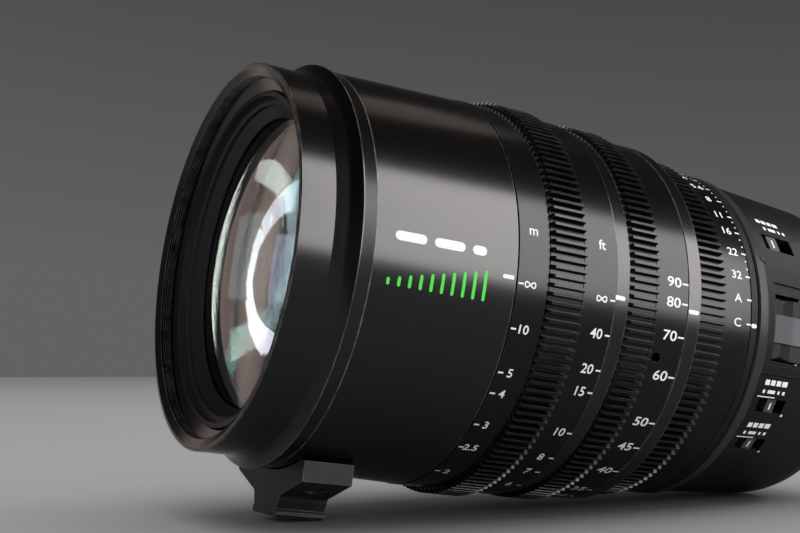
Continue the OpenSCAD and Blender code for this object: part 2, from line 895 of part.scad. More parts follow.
// Place of a drive pin in the frame of its pivot's radius, for the iris ring at a share of its turn
function tail_angle(t) = closed_tail_angle + blade_swing_angle * t;
function pin_y(t) = pivot_circle_r + drive_arm * cos(tail_angle(t));
function pin_z(t) = -drive_arm * sin(tail_angle(t));
function pin_radius(t) = norm([pin_y(t), pin_z(t)]);
function pin_angle(t) = atan2(pin_z(t), pin_y(t)) - iris_turn_angle * t;
function slot_side(side) = [
    for (i = [0:slot_steps])
        let (t = (i / slot_steps - 0.5) * slot_share + 0.5,
             r = pin_radius(t) + side * (drive_pin_r + slot_gap),
             a = pin_angle(t))
            [r * cos(a), r * sin(a)]
];

// Ring with a spiral slot for each blade's drive pin, turned by the iris ring's key
module iris_drive_ring() {
    color("#6d6f74")
        difference() {
            union() {
                tube(drive_outer_r, drive_inner_r, x_drive, iris_drive_w);
                arc_ring(tube_bore_r + run_gap, drive_outer_r - iris_wall, x_drive, iris_drive_w,
                    key_centre_angle, key_angle);
            }
            for (i = [0:blade_count - 1])
                rotate([i * 360 / blade_count, 0, 0])
                    translate([x_drive - overrun, 0, 0])
                        rotate([90, 0, 90])
                            linear_extrude(height = iris_drive_w + 2 * overrun)
                                polygon(concat(slot_side(1), reversed(slot_side(-1))));
        }
}

// Outline of an open blade: an arc round the aperture with an ear at its pivot and a tail
function blade_band(r, from, to) = [
    for (i = [0:blade_steps])
        let (a = from + (to - from) * i / blade_steps)
            [r * cos(a), r * sin(a)]
];
module blade_shape() {
    tail = [pivot_circle_r + drive_arm * cos(open_tail_angle), -drive_arm * sin(open_tail_angle)];
    polygon(concat(
        blade_band(blade_outer_r, blade_heel_angle, blade_arc_angle),
        reversed(blade_band(iris_open_r, 0, blade_arc_angle - blade_heel_angle)),
        [[pivot_circle_r - blade_ear_r / 2, -blade_ear_r]],
        [[tail[0] - blade_ear_r / 2, tail[1] - blade_ear_r / 2], [tail[0] + blade_ear_r / 2, tail[1] - blade_ear_r / 2]],
        [[pivot_circle_r + blade_ear_r, 0], [pivot_circle_r + blade_ear_r / 2, blade_ear_r]]
    ));
}

module iris_blade(i) {
    x = x_blades + i * blade_step;
    color("#55565c")
        rotate([i * 360 / blade_count, 0, 0])
            translate([0, pivot_circle_r, 0])
                rotate([blade_swing_angle, 0, 0])
                    translate([0, -pivot_circle_r, 0]) {
                        translate([x, 0, 0])
                            rotate([90, 0, 90])
                                linear_extrude(height = blade_t)
                                    blade_shape();
                        rod(pivot_pin_r, x_iris_unit + iris_gap, x - x_iris_unit - iris_gap + blade_t,
                            y = pivot_circle_r);
                        rod(drive_pin_r, x, x_drive + iris_drive_w - x,
                            y = pivot_circle_r + drive_arm * cos(open_tail_angle),
                            z = -drive_arm * sin(open_tail_angle));
                    }
}

// Fixed relay group behind the iris
module relay_cell() {
    color("#2f3034")
        turned([
            [relay_bore_r, x_relay],
            [iris_outer_r, x_relay],
            [iris_outer_r, x_relay + relay_flange_w],
            [relay_r, x_relay + relay_flange_w],
            [relay_r, x_relay + relay_w],
            [relay_rear_bore_r - relay_wall, x_relay + relay_w],
            [relay_rear_bore_r - relay_wall, x_relay + relay_w - relay_wall],
            [relay_rear_bore_r, x_relay + relay_w - relay_wall],
            [relay_rear_bore_r, x_relay + relay_w / 2],
            [relay_bore_r, x_relay + relay_w / 2]
        ]);
}

module relay_front_element() {
    color("#a9c6cc")
        glass(relay_front_glass_r, x_relay + relay_wall, 2 * relay_wall, relay_wall, relay_wall / 2);
}

module relay_rear_element() {
    color("#a9c6cc")
        glass(relay_rear_glass_r, x_relay + relay_w - 3 * relay_wall, 2 * relay_wall, relay_wall / 2, -relay_wall / 4);
}

// Radius of the rear housing at a station
function housing_r(x) = rim_r - rim_step - housing_taper * (x - x_body) / (x_cover - x_body);

// Rectangular well through the wall at an angle from +Z towards -Y
module wall_slot(angle, x, w, h) {
    at_angle(angle)
        translate([x - w / 2, -h / 2, housing_rear_r - 2 * housing_wall])
            cube([w, h, 4 * housing_wall]);
}

// Shell of the rear housing: index collar, groove, rim and tapered wall
module housing_shell() {
    turned([
        [tube_r + seat_gap, x_housing + run_gap / 2],
        [rim_r - run_gap, x_housing + run_gap / 2],
        [rim_r, x_housing + run_gap],
        [rim_r, x_housing + index_collar_w],
        [rim_r - rim_groove_h, x_housing + index_collar_w],
        [rim_r - rim_groove_h, x_rim],
        [rim_r - rim_round, x_rim],
        [rim_r, x_rim + rim_round],
        [rim_r, x_body - rim_round],
        [rim_r - rim_step, x_body],
        [housing_rear_r, x_cover],
        [housing_rear_r - housing_wall, x_cover],
        [rim_r - rim_step - housing_wall, x_body],
        [tube_r + seat_gap, x_body]
    ]);
}

// Raised panel that carries the rocker, flush with the rim
module control_panel() {
    arc_turned([
        [housing_r(x_body) - housing_wall / 2, x_body - rim_round],
        [housing_r(x_body) + panel_h, x_body - rim_round],
        [housing_r(x_panel_end) + panel_h, x_panel_end - panel_h],
        [housing_r(x_panel_end), x_panel_end],
        [housing_r(x_panel_end) - housing_wall / 2, x_panel_end]
    ], panel_angle, panel_span_angle);
}

// Groove in the panel above the rocker
module panel_line() {
    x_end = x_panel_line + panel_line_w;
    arc_turned([
        [housing_r(x_panel_line) + panel_h - panel_line_h, x_panel_line],
        [rim_r + overrun, x_panel_line],
        [rim_r + overrun, x_end],
        [housing_r(x_end) + panel_h - panel_line_h, x_end]
    ], panel_line_angle, panel_line_span_angle);
}

// Rear housing with its panel, a stud at the rim and the openings for the controls
module rear_housing() {
    color("#232528")
        difference() {
            union() {
                housing_shell();
                control_panel();
                at_angle(stud_angle)
                    translate([x_body, 0, housing_r(x_body) - housing_wall / 2])
                        cylinder(r = stud_r, h = housing_wall / 2 + rim_step + stud_h, $fn = small_fn);
            }
            panel_line();
            translate([x_rocker - bezel_half_w - seat_gap, -rim_r - overrun, z_rocker - bezel_half_h - seat_gap])
                cube([2 * bezel_half_w + 2 * seat_gap, bezel_depth + overrun, 2 * bezel_half_h + 2 * seat_gap]);
            wall_slot(top_switch_angle, x_top_switch, top_slot_w, top_slot_h);
            wall_slot(zoom_speed_angle, x_speed, slot_w, slot_h);
            wall_slot(focus_speed_angle, x_speed, slot_w, slot_h);
        }
}

// Tray that the zoom rocker tips in
module rocker_bezel() {
    color("#18191c")
        difference() {
            intersection() {
                translate([x_rocker - bezel_half_w, -rim_r, z_rocker - bezel_half_h])
                    cube([2 * bezel_half_w, bezel_depth, 2 * bezel_half_h]);
                turned([
                    [0, x_body],
                    [housing_r(x_body) + panel_h, x_body],
                    [housing_r(x_cover) + panel_h, x_cover],
                    [0, x_cover]
                ]);
            }
            translate([x_rocker - rocker_w / 2 - rocker_gap, -rim_r - overrun, z_rocker - rocker_h / 2 - rocker_gap])
                cube([rocker_w + 2 * rocker_gap, bezel_depth + overrun - bezel_floor_w, rocker_h + 2 * rocker_gap]);
            translate([x_rocker, y_rocker_pin, z_rocker - bezel_half_h - overrun])
                cylinder(r = rocker_pin_r + seat_gap, h = 2 * bezel_half_h + 2 * overrun, $fn = small_fn);
        }
}

// Rocker: a dished bar with rounded long edges on a pin, with a raised pad along its middle
module zoom_rocker() {
    color("#4a4b50")
        difference() {
            union() {
                intersection() {
                    translate([x_rocker, 0, z_rocker - rocker_h / 2])
                        linear_extrude(height = rocker_h)
                            polygon(rocker_outline(0));
                    translate([x_rocker - rocker_w, 0, z_rocker])
                        rotate([90, 0, 90])
                            linear_extrude(height = 2 * rocker_w)
                                polygon(rocker_section());
                }
                translate([x_rocker, 0, z_rocker - rocker_pad_h / 2])
                    linear_extrude(height = rocker_pad_h)
                        polygon(rocker_outline(rocker_pad_lift));
                translate([x_rocker, y_rocker_pin, z_rocker - rocker_h / 2])
                    cylinder(r = rocker_hub_r, h = rocker_h, $fn = small_fn);
            }
            translate([x_rocker, y_rocker_pin, z_rocker - rocker_h])
                cylinder(r = rocker_pin_r + pin_gap, h = 2 * rocker_h, $fn = small_fn);
        }
}
function rocker_outline(lift) = [
    [-rocker_w / 2, y_rocker_pin + rocker_pin_r / 2],
    [-rocker_w / 2, y_rocker_pin - rocker_t / 4 - lift],
    [-rocker_w / 3, y_rocker_pin - rocker_t / 2 - lift],
    [-rocker_w / 7, y_rocker_pin - rocker_t / 3 - lift],
    [rocker_w / 7, y_rocker_pin - rocker_t / 3 - lift],
    [rocker_w / 3, y_rocker_pin - rocker_t / 2 - lift],
    [rocker_w / 2, y_rocker_pin - rocker_t / 4 - lift],
    [rocker_w / 2, y_rocker_pin + rocker_pin_r / 2]
];
function rocker_section() =
    let (y_face = y_rocker_pin - rocker_t / 2, half = rocker_h / 2)
        concat(
            [[y_rocker_pin + rocker_pin_r / 2, -half]],
            [for (i = [0:rocker_steps])
                let (t = right_angle * i / rocker_steps)
                    [y_face + rocker_round * (1 - sin(t)), -half + rocker_round * (1 - cos(t))]],
            [for (i = [0:rocker_steps])
                let (t = right_angle * i / rocker_steps)
                    [y_face + rocker_round * (1 - cos(t)), half - rocker_round * (1 - sin(t))]],
            [[y_rocker_pin + rocker_pin_r / 2, half]]
        );

module rocker_pin() {
    color("#8a8a8c")
        translate([x_rocker, y_rocker_pin, z_rocker - bezel_half_h])
            cylinder(r = rocker_pin_r, h = 2 * bezel_half_h, $fn = small_fn);
}

// Slider of a switch, which runs on the inner plate and ends just below the surface
module slider(angle, x, h, knob) {
    slider_r = housing_rear_r - 2 * housing_wall;
    at_angle(angle)
        translate([x - knob / 2, -h / 2 + run_gap, slider_r])
            cube([knob, h - 2 * run_gap, housing_r(x) - run_gap - slider_r]);
}

module top_switch() {
    color("#303136")
        slider(top_switch_angle, x_top_switch - switch_travel / 2, top_slot_h, top_knob_w);
}

module zoom_speed_switch() {
    color("#303136")
        slider(zoom_speed_angle, x_speed, slot_h, knob_w);
}

module focus_speed_switch() {
    color("#303136")
        slider(focus_speed_angle, x_speed, slot_h, knob_w);
}

// Curved plates that the sliders run on, each with a foot on the housing's wall
module slider_plate(centre, span) {
    plate_r = housing_rear_r - 2 * housing_wall - run_gap;
    arc_ring(plate_r, plate_r - plate_t, x_body, plate_w, centre, span);
    arc_ring(housing_r(x_body + plate_foot_w) - housing_wall - seat_gap, plate_r - plate_t / 2,
        x_body, plate_foot_w, centre, span);
}

module switch_plate() {
    color("#2c6b45") {
        slider_plate(top_switch_angle, top_plate_angle);
        slider_plate((zoom_speed_angle + focus_speed_angle) / 2, speed_plate_angle);
    }
}

// Ring-shaped board in front of the rear bulkhead
module circuit_board() {
    color("#2c6b45")
        tube(board_outer_r, board_inner_r, x_cover - board_t, board_t);
}

module motor(angle) {
    color("#b9bcc2")
        rotate([angle, 0, 0]) {
            rod(motor_r, x_cover - board_t - motor_w, motor_w, y = motor_circle_r);
            rod(motor_shaft_r, x_cover - board_t - motor_w - motor_shaft_w, motor_shaft_w, y = motor_circle_r);
        }
}

module zoom_motor() {
    motor(zoom_motor_angle);
}

module focus_motor() {
    motor(focus_motor_angle);
}

// Rounded shoulder between the housing and the flange
module rear_cover() {
    shoulder = [for (i = [0:cover_steps])
        let (t = right_angle * i / cover_steps)
            [cover_end_r + (housing_rear_r - cover_end_r) * cos(t), x_cover + cover_w * sin(t)]];
    inside = [for (i = [cover_steps:-1:1])
        let (t = right_angle * i / cover_steps)
            [cover_end_r - cover_wall + (housing_rear_r - cover_end_r) * cos(t),
             x_cover + (cover_w - cover_wall) * sin(t)]];
    rim = housing_rear_r - cover_wall - cover_rim_h;
    color("#232528")
        difference() {
            turned(concat(
                [[rim, x_cover]],
                shoulder,
                [[mount_bore_r + overrun, x_mount], [mount_bore_r + overrun, x_mount - cover_end_w]],
                [[cover_bore_r, x_mount - cover_end_w], [cover_bore_r, x_cover]],
                [[cover_bore_r + cover_wall, x_cover], [cover_bore_r + cover_wall, x_mount - cover_wall]],
                inside,
                [[rim, x_cover + cover_rim_w]]
            ));
            mount_screw_places()
                rod(screw_r + seat_gap, x_mount - cover_end_w - overrun, cover_end_w + 2 * overrun);
        }
}

// Steel bayonet mount with its barrel and lugs
module mount_flange() {
    color("#c9c9c6")
        difference() {
            union() {
                turned([
                    [mount_bore_r, x_mount],
                    [flange_r, x_mount],
                    [flange_r, -edge_chamfer],
                    [flange_r - edge_chamfer, 0],
                    [bayonet_r, 0],
                    [bayonet_r, bayonet_w],
                    [mount_bore_r, bayonet_w]
                ]);
                for (i = [0:lug_count - 1])
                    arc_ring(bayonet_r + lug_h, bayonet_r - bayonet_wall / 2, bayonet_w - lug_w, lug_w,
                        i * 360 / lug_count, lug_angle);
            }
            mount_screw_places() {
                rod(screw_r + seat_gap, -screw_w - overrun, screw_w + 2 * overrun);
                rod(screw_head_r + seat_gap, -screw_head_w - screw_sink, screw_head_w + screw_sink + overrun);
            }
        }
}

module mount_screw_places() {
    for (i = [0:screw_count - 1])
        rotate([screw_start_angle + i * 360 / screw_count, 0, 0])
            translate([0, screw_circle_r, 0])
                children();
}

module mount_screws() {
    color("#d6d6d2")
        mount_screw_places() {
            difference() {
                rod(screw_head_r, -screw_head_w - screw_sink, screw_head_w);
                rod(screw_r / 1.4, -screw_head_w / 2 - screw_sink, screw_head_w, fn = 4);
            }
            rod(screw_r, -screw_w, screw_w - screw_head_w - screw_sink);
        }
}

// Rear baffle with a rectangular window
module mount_baffle() {
    color("#161518")
        difference() {
            rod(mount_bore_r - seat_gap, x_mount, mount_baffle_w, fn = smooth_fn);
            translate([x_mount - overrun, -baffle_window_y, -baffle_window_z])
                cube([mount_baffle_w + 2 * overrun, 2 * baffle_window_y, 2 * baffle_window_z]);
        }
}

// Curved block that carries the row of contacts
module contact_block() {
    color("#101012")
        difference() {
            arc_ring(mount_bore_r - seat_gap, mount_bore_r - contact_t, bayonet_w - contact_block_w - lug_w,
                contact_block_w, contact_centre_angle, contact_angle);
            contact_places()
                rod(contact_r + seat_gap, -contact_t, contact_t + bayonet_w);
        }
}

module contact_places() {
    for (i = [0:contact_count - 1])
        at_angle(contact_centre_angle + (i - (contact_count - 1) / 2) * contact_angle / (contact_count + 1))
            translate([0, 0, mount_bore_r - contact_t / 2])
                children();
}

module contact_pins() {
    color("#c9a24a")
        contact_places()
            rod(contact_r, -contact_t, bayonet_w - lug_w + contact_t + contact_proud);
}

front_ring();
baffle_ring();
front_retainer();
front_cell();
front_element();
second_element();
third_element();
front_barrel();
support_foot();
foot_screws();
main_tube();
focus_ring();
index_ring_front();
zoom_ring();
index_ring_rear();
iris_ring();
focus_cell();
focus_element();
zoom_cam_tube();
variator_cell();
variator_front_element();
variator_rear_element();
compensator_cell();
compensator_element();
iris_housing();
iris_cover();
iris_drive_ring();
iris_blade(0);  // iris_blade_1
iris_blade(1);  // iris_blade_2
iris_blade(2);  // iris_blade_3
iris_blade(3);  // iris_blade_4
iris_blade(4);  // iris_blade_5
iris_blade(5);  // iris_blade_6
iris_blade(6);  // iris_blade_7
iris_blade(7);  // iris_blade_8
iris_blade(8);  // iris_blade_9
relay_cell();
relay_front_element();
relay_rear_element();
rear_housing();
rocker_bezel();
zoom_rocker();
rocker_pin();
top_switch();
zoom_speed_switch();
focus_speed_switch();
switch_plate();
circuit_board();
zoom_motor();
focus_motor();
rear_cover();
mount_flange();
mount_screws();
mount_baffle();
contact_block();
contact_pins();
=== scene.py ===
# Looks of a cinema zoom lens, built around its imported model.
# Metres. X is the optical axis and points back to the camera body, +Z is up, and the index marks face -Y.
import math
import bmesh
import bpy
from mathutils import Matrix, Quaternion, Vector
from mathutils.bvhtree import BVHTree
from mathutils.geometry import interpolate_bezier


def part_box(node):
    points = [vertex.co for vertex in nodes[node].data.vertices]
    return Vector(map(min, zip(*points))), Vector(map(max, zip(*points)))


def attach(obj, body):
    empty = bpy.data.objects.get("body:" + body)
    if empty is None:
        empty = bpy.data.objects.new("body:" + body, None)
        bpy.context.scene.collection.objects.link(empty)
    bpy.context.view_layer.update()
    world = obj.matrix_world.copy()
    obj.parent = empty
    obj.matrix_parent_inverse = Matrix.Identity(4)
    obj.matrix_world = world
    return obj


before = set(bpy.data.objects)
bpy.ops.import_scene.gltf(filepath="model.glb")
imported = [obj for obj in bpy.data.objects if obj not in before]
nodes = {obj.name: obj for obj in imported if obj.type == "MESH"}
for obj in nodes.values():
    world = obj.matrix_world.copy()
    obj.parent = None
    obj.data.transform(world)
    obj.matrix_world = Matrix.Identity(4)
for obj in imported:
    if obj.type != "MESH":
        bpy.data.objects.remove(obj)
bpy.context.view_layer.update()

mm = 0.001
print("frame loaded:", len(nodes), "nodes")


# Camera, at the photograph's viewpoint
shot = {
    "place": (-0.34759, -0.35827, -0.04803),
    "aim": (-0.16254, 0.0, 0.00646),
    "roll": 6.61,  # degrees, clockwise as seen through the camera
    "lens": 58.5,
    "sensor": 36.0,
}


def setCamera():
    data = bpy.data.cameras.new("photoCamera")
    data.lens = shot["lens"]
    data.sensor_width = shot["sensor"]
    data.clip_start = 0.01
    camera = bpy.data.objects.new("photoCamera", data)
    bpy.context.scene.collection.objects.link(camera)
    look = Vector(shot["aim"]) - Vector(shot["place"])
    camera.rotation_mode = "QUATERNION"
    turn = look.to_track_quat("-Z", "Y") @ Quaternion((0, 0, 1), math.radians(shot["roll"]))
    camera.location = shot["place"]
    camera.rotation_quaternion = turn
    bpy.context.scene.camera = camera


# Plain studio: a pale floor that the tipped lens rests on, a pale world and soft boxes
studio = {
    "floorNormal": (-0.12921, 0.0, 0.99162),
    "floorRadius": 4.0,
    "floorCorners": 96,
    "floorRoughness": 0.85,
    "floorNoise": 30,
    "floorMottle": 0.97,  # how bright the darker spots are
    "floorColour": (0.46, 0.464, 0.468),
    "worldColour": (0.12, 0.123, 0.127),
    "zenithColour": (0.02, 0.02, 0.022),
    "zenithStart": 0.10,  # height of the direction at which the pale sky starts to darken
    "zenithEnd": 0.55,
    "fillColour": (0.95, 0.97, 1.0),  # soft light from all round; the background itself is at strength 1
    "fillStrength": 0.40,
    "centre": (-0.13, 0.0, 0.0),
}

# name, direction from the lens, distance, shift along X, width, height, watts, colour, what alone it lights
softBoxes = [
    ("keyBox", (0.0, -0.857, 0.515), 1.10, 0.70, 0.85, 1.08, 25, (1.0, 0.965, 0.955), "objects"),
    ("floorBox", (-0.129, 0.0, 0.992), 2.2, 0.0, 3.2, 3.2, 30, (1.0, 0.995, 0.985), "floor"),
    ("topBox", (0.36, 0.26, 0.90), 1.3, 0.0, 0.30, 0.36, 0.17, (1.0, 0.82, 0.72), None),
    ("bevelBox", (0.85, -0.03, 0.53), 1.2, 0.0, 0.26, 0.30, 1.6, (1.0, 0.97, 0.95), None),
    ("tealBox", (-0.63, 0.72, 0.34), 1.1, -0.085, 0.10, 0.18, 0.20, (0.35, 0.95, 0.85), "glass"),
    ("windowBox", (-0.68, 0.73, 0.09), 1.1, -0.085, 0.16, 0.22, 0.45, (0.72, 0.86, 1.0), "glass"),
    ("ribBox", (-0.45, -0.88, 0.05), 1.1, -0.085, 0.25, 0.9, 10, (0.98, 0.94, 1.0), "ribs"),
    ("warmBox", (-0.25, 0.95, 0.20), 1.1, -0.085, 0.24, 0.80, 0.33, (1.0, 0.72, 0.62), "front"),
]

# The curved soft box seen in the glass: a chain of short boxes along one curve of directions
crescent = {
    "start": (-0.64, 0.71, 0.31),
    "startHandle": (-0.42, 0.91, 0.22),
    "endHandle": (-0.42, 0.94, -0.05),
    "end": (-0.67, 0.74, -0.15),
    "parts": 10,
    "distance": 1.1,
    "shift": -0.085,
    "width": 0.06,  # in the middle of the curve
    "endWidth": 0.11,
    "startPower": 22,  # watts per square metre
    "endPower": 48,
    "startColour": (0.74, 0.96, 0.95),
    "endColour": (0.96, 1.0, 1.0),
    "overlap": 1.04,
}


def studioWorld():
    world = bpy.data.worlds.new("studioWorld")
    world.use_nodes = True
    tree = world.node_tree
    tree.nodes.clear()
    path = tree.nodes.new("ShaderNodeLightPath")
    seen = tree.nodes.new("ShaderNodeMath")
    seen.operation = "MAXIMUM"
    tree.links.new(path.outputs["Is Camera Ray"], seen.inputs[0])
    tree.links.new(path.outputs["Is Glossy Ray"], seen.inputs[1])
    through = tree.nodes.new("ShaderNodeMath")
    through.operation = "MAXIMUM"
    tree.links.new(seen.outputs[0], through.inputs[0])
    tree.links.new(path.outputs["Is Transmission Ray"], through.inputs[1])
    direction = tree.nodes.new("ShaderNodeTexCoord")
    split = tree.nodes.new("ShaderNodeSeparateXYZ")
    tree.links.new(direction.outputs["Generated"], split.inputs[0])
    high = rangeNode(tree, split.outputs["Z"], studio["zenithStart"], studio["zenithEnd"], 0.0, 1.0)
    sky = mixColour(tree, high, studio["worldColour"], studio["zenithColour"])
    fill = tree.nodes.new("ShaderNodeBackground")
    fill.inputs["Color"].default_value = (*studio["fillColour"], 1)
    fill.inputs["Strength"].default_value = studio["fillStrength"]
    shown = tree.nodes.new("ShaderNodeBackground")
    tree.links.new(sky, shown.inputs["Color"])
    mix = tree.nodes.new("ShaderNodeMixShader")
    tree.links.new(through.outputs[0], mix.inputs["Fac"])
    tree.links.new(fill.outputs[0], mix.inputs[1])
    tree.links.new(shown.outputs[0], mix.inputs[2])
    output = tree.nodes.new("ShaderNodeOutputWorld")
    tree.links.new(mix.outputs[0], output.inputs["Surface"])
    bpy.context.scene.world = world


def studioFloor():
    normal = Vector(studio["floorNormal"]).normalized()
    turn = normal.to_track_quat("Z", "Y")
    mesh = bpy.data.meshes.new("studioFloor")
    corners = studio["floorCorners"]
    # The foot rests on the floor
    lowest = min(normal.dot(vertex.co) for node in nodes.values() for vertex in node.data.vertices)
    print("floor at", round(lowest, 5))
    ring = [turn @ Vector((math.cos(a), math.sin(a), 0)) * studio["floorRadius"] + normal * lowest
            for a in (2 * math.pi * i / corners for i in range(corners))]
    mesh.from_pydata(ring, [], [list(range(corners))])
    floor = bpy.data.objects.new("studioFloor", mesh)
    bpy.context.scene.collection.objects.link(floor)
    material = bpy.data.materials.new("paleFloor")
    material.use_nodes = True
    tree = material.node_tree
    shader = tree.nodes["Principled BSDF"]
    shader.inputs["Roughness"].default_value = studio["floorRoughness"]
    noise = tree.nodes.new("ShaderNodeTexNoise")
    noise.inputs["Scale"].default_value = studio["floorNoise"]
    mix = tree.nodes.new("ShaderNodeMix")
    mix.data_type = "RGBA"
    mix.inputs["A"].default_value = (*studio["floorColour"], 1)
    mix.inputs["B"].default_value = (*[studio["floorMottle"] * c for c in studio["floorColour"]], 1)
    coordinates = tree.nodes.new("ShaderNodeTexCoord")
    tree.links.new(coordinates.outputs["Object"], noise.inputs["Vector"])
    tree.links.new(noise.outputs["Fac"], mix.inputs["Factor"])
    tree.links.new(mix.outputs["Result"], shader.inputs["Base Color"])
    mesh.materials.append(material)
    return floor


def receiverCollections(floor):
    elements = [node for name, node in nodes.items() if name.endswith("_element")]
    members = {
        "objects": [floor],
        "floor": [floor],
        "glass": elements,
        "front": elements + [nodes["front_ring"], nodes["baffle_ring"]],
        "ribs": [nodes["baffle_ring"], nodes["front_retainer"]],
    }
    receivers = {}
    for name, objects in members.items():
        receivers[name] = bpy.data.collections.new(name + "Receivers")
        for one in objects:
            receivers[name].objects.link(one)
    # The lamps on the objects light all but the floor
    receivers["objects"].collection_objects[0].light_linking.link_state = "EXCLUDE"
    return receivers


def studioLamps(floor):
    centre = Vector(studio["centre"])
    receivers = receiverCollections(floor)
    boxes = [(*box, None) for box in softBoxes]
    curve = [point.normalized() * crescent["distance"] for point in interpolate_bezier(
        *(Vector(crescent[key]) for key in ("start", "startHandle", "endHandle", "end")),
        crescent["parts"] + 1)]
    for part, (start, end) in enumerate(zip(curve, curve[1:])):
        share = (part + 0.5) / crescent["parts"]
        width = crescent["width"] + (crescent["endWidth"] - crescent["width"]) * abs(2 * share - 1)
        power = crescent["startPower"] + (crescent["endPower"] - crescent["startPower"]) * share
        colour = Vector(crescent["startColour"]).lerp(Vector(crescent["endColour"]), share)
        length = (end - start).length * crescent["overlap"]
        boxes.append(("crescentPart", (start + end) / 2, crescent["distance"], crescent["shift"], width,
                      length, power * width * length, colour, "glass", end - start))
    for name, direction, distance, shift, width, height, watts, colour, lights, along in boxes:
        data = bpy.data.lights.new(name, "AREA")
        data.shape = "RECTANGLE"
        data.size = width
        data.size_y = height
        data.energy = watts
        data.color = colour
        lamp = bpy.data.objects.new(name, data)
        bpy.context.scene.collection.objects.link(lamp)
        away = Vector(direction).normalized()
        lamp.location = centre + away * distance + Vector((shift, 0, 0))
        lamp.rotation_mode = "QUATERNION"
        lamp.rotation_quaternion = away.to_track_quat("Z", "Y")
        if along is not None:
            across = along.cross(away).normalized()
            turn = Matrix((across, away.cross(across), away)).transposed()
            lamp.rotation_quaternion = turn.to_quaternion()
        if lights:
            lamp.light_linking.receiver_collection = receivers[lights]


# Grain, wear with painted edge highlight, and dust of the finishes: noise scales in cycles a metre, bumps
# in metres
turnedLook = {"arcs": 6.0, "clouds": 45.0, "speckles": 2600.0, "bump": 0.04 * mm}
edgeLook = {"samples": 4, "flat": 0.99, "round": 0.86, "patches": 260.0}  # flat and round are cosines
mouldedLook = {"clouds": 60.0, "spread": 0.18, "bump": 0.05 * mm}
dustLook = {"cells": 420.0, "core": 0.035, "rim": 0.06, "patches": 90.0, "colour": (0.35, 0.34, 0.33)}
printLook = {"scale": 1500.0, "darker": 0.82, "smooth": 0.45, "rough": 0.6, "bump": 0.03 * mm}


# Shader node groups that several finishes share
def groupTree(name, inputs, outputs, treeType="ShaderNodeTree"):
    tree = bpy.data.node_groups.new(name, treeType)
    for label, kind, value in inputs:
        socket = tree.interface.new_socket(name=label, in_out="INPUT", socket_type=kind)
        if value is not None:
            socket.default_value = value
    for label, kind in outputs:
        tree.interface.new_socket(name=label, in_out="OUTPUT", socket_type=kind)
    return tree, tree.nodes.new("NodeGroupInput"), tree.nodes.new("NodeGroupOutput")


def mathNode(tree, operation, first, second=None):
    node = tree.nodes.new("ShaderNodeMath")
    node.operation = operation
    for socket, value in zip(node.inputs, (first, second)):
        if value is None:
            continue
        if isinstance(value, (int, float)):
            socket.default_value = value
        else:
            tree.links.new(value, socket)
    return node.outputs[0]


def mixColour(tree, factor, first, second):
    node = tree.nodes.new("ShaderNodeMix")
    node.data_type = "RGBA"
    for label, value in (("Factor", factor), ("A", first), ("B", second)):
        socket = next(s for s in node.inputs if s.name == label and s.enabled)
        if isinstance(value, (int, float)):
            socket.default_value = value
        elif isinstance(value, tuple):
            socket.default_value = (*value, 1)
        else:
            tree.links.new(value, socket)
    return next(s for s in node.outputs if s.enabled)


def noiseNode(tree, vector, scale, detail, roughness=0.5):
    node = tree.nodes.new("ShaderNodeTexNoise")
    node.inputs["Detail"].default_value = detail
    node.inputs["Roughness"].default_value = roughness
    if isinstance(scale, (int, float)):
        node.inputs["Scale"].default_value = scale
    else:
        tree.links.new(scale, node.inputs["Scale"])
    tree.links.new(vector, node.inputs["Vector"])
    return node.outputs["Fac"]


def rangeNode(tree, value, low, high, toLow, toHigh):
    node = tree.nodes.new("ShaderNodeMapRange")
    node.clamp = True
    tree.links.new(value, node.inputs["Value"])
    for label, given in (("From Min", low), ("From Max", high), ("To Min", toLow), ("To Max", toHigh)):
        if isinstance(given, (int, float)):
            node.inputs[label].default_value = given
        else:
            tree.links.new(given, node.inputs[label])
    return node.outputs["Result"]


def bumpNode(tree, height, strength, distance, normal=None):
    node = tree.nodes.new("ShaderNodeBump")
    for label, given in (("Strength", strength), ("Distance", distance), ("Height", height),
                         ("Normal", normal)):
        if given is None:
            continue
        if isinstance(given, (int, float)):
            node.inputs[label].default_value = given
        else:
            tree.links.new(given, node.inputs[label])
    return node.outputs["Normal"]


def lathePoint(tree, fineness, arcs):
    # Coordinates that run finely along the axis and the radius, and slowly round the lens
    coordinates = tree.nodes.new("ShaderNodeTexCoord").outputs["Object"]
    split = tree.nodes.new("ShaderNodeSeparateXYZ")
    tree.links.new(coordinates, split.inputs[0])
    angle = mathNode(tree, "ARCTAN2", split.outputs["Y"], split.outputs["Z"])
    square = mathNode(tree, "ADD", mathNode(tree, "MULTIPLY", split.outputs["Y"], split.outputs["Y"]),
                      mathNode(tree, "MULTIPLY", split.outputs["Z"], split.outputs["Z"]))
    radius = mathNode(tree, "SQRT", square)
    join = tree.nodes.new("ShaderNodeCombineXYZ")
    tree.links.new(mathNode(tree, "MULTIPLY", split.outputs["X"], fineness), join.inputs["X"])
    tree.links.new(mathNode(tree, "MULTIPLY", angle, arcs), join.inputs["Y"])
    tree.links.new(mathNode(tree, "MULTIPLY", radius, fineness), join.inputs["Z"])
    return join.outputs[0]


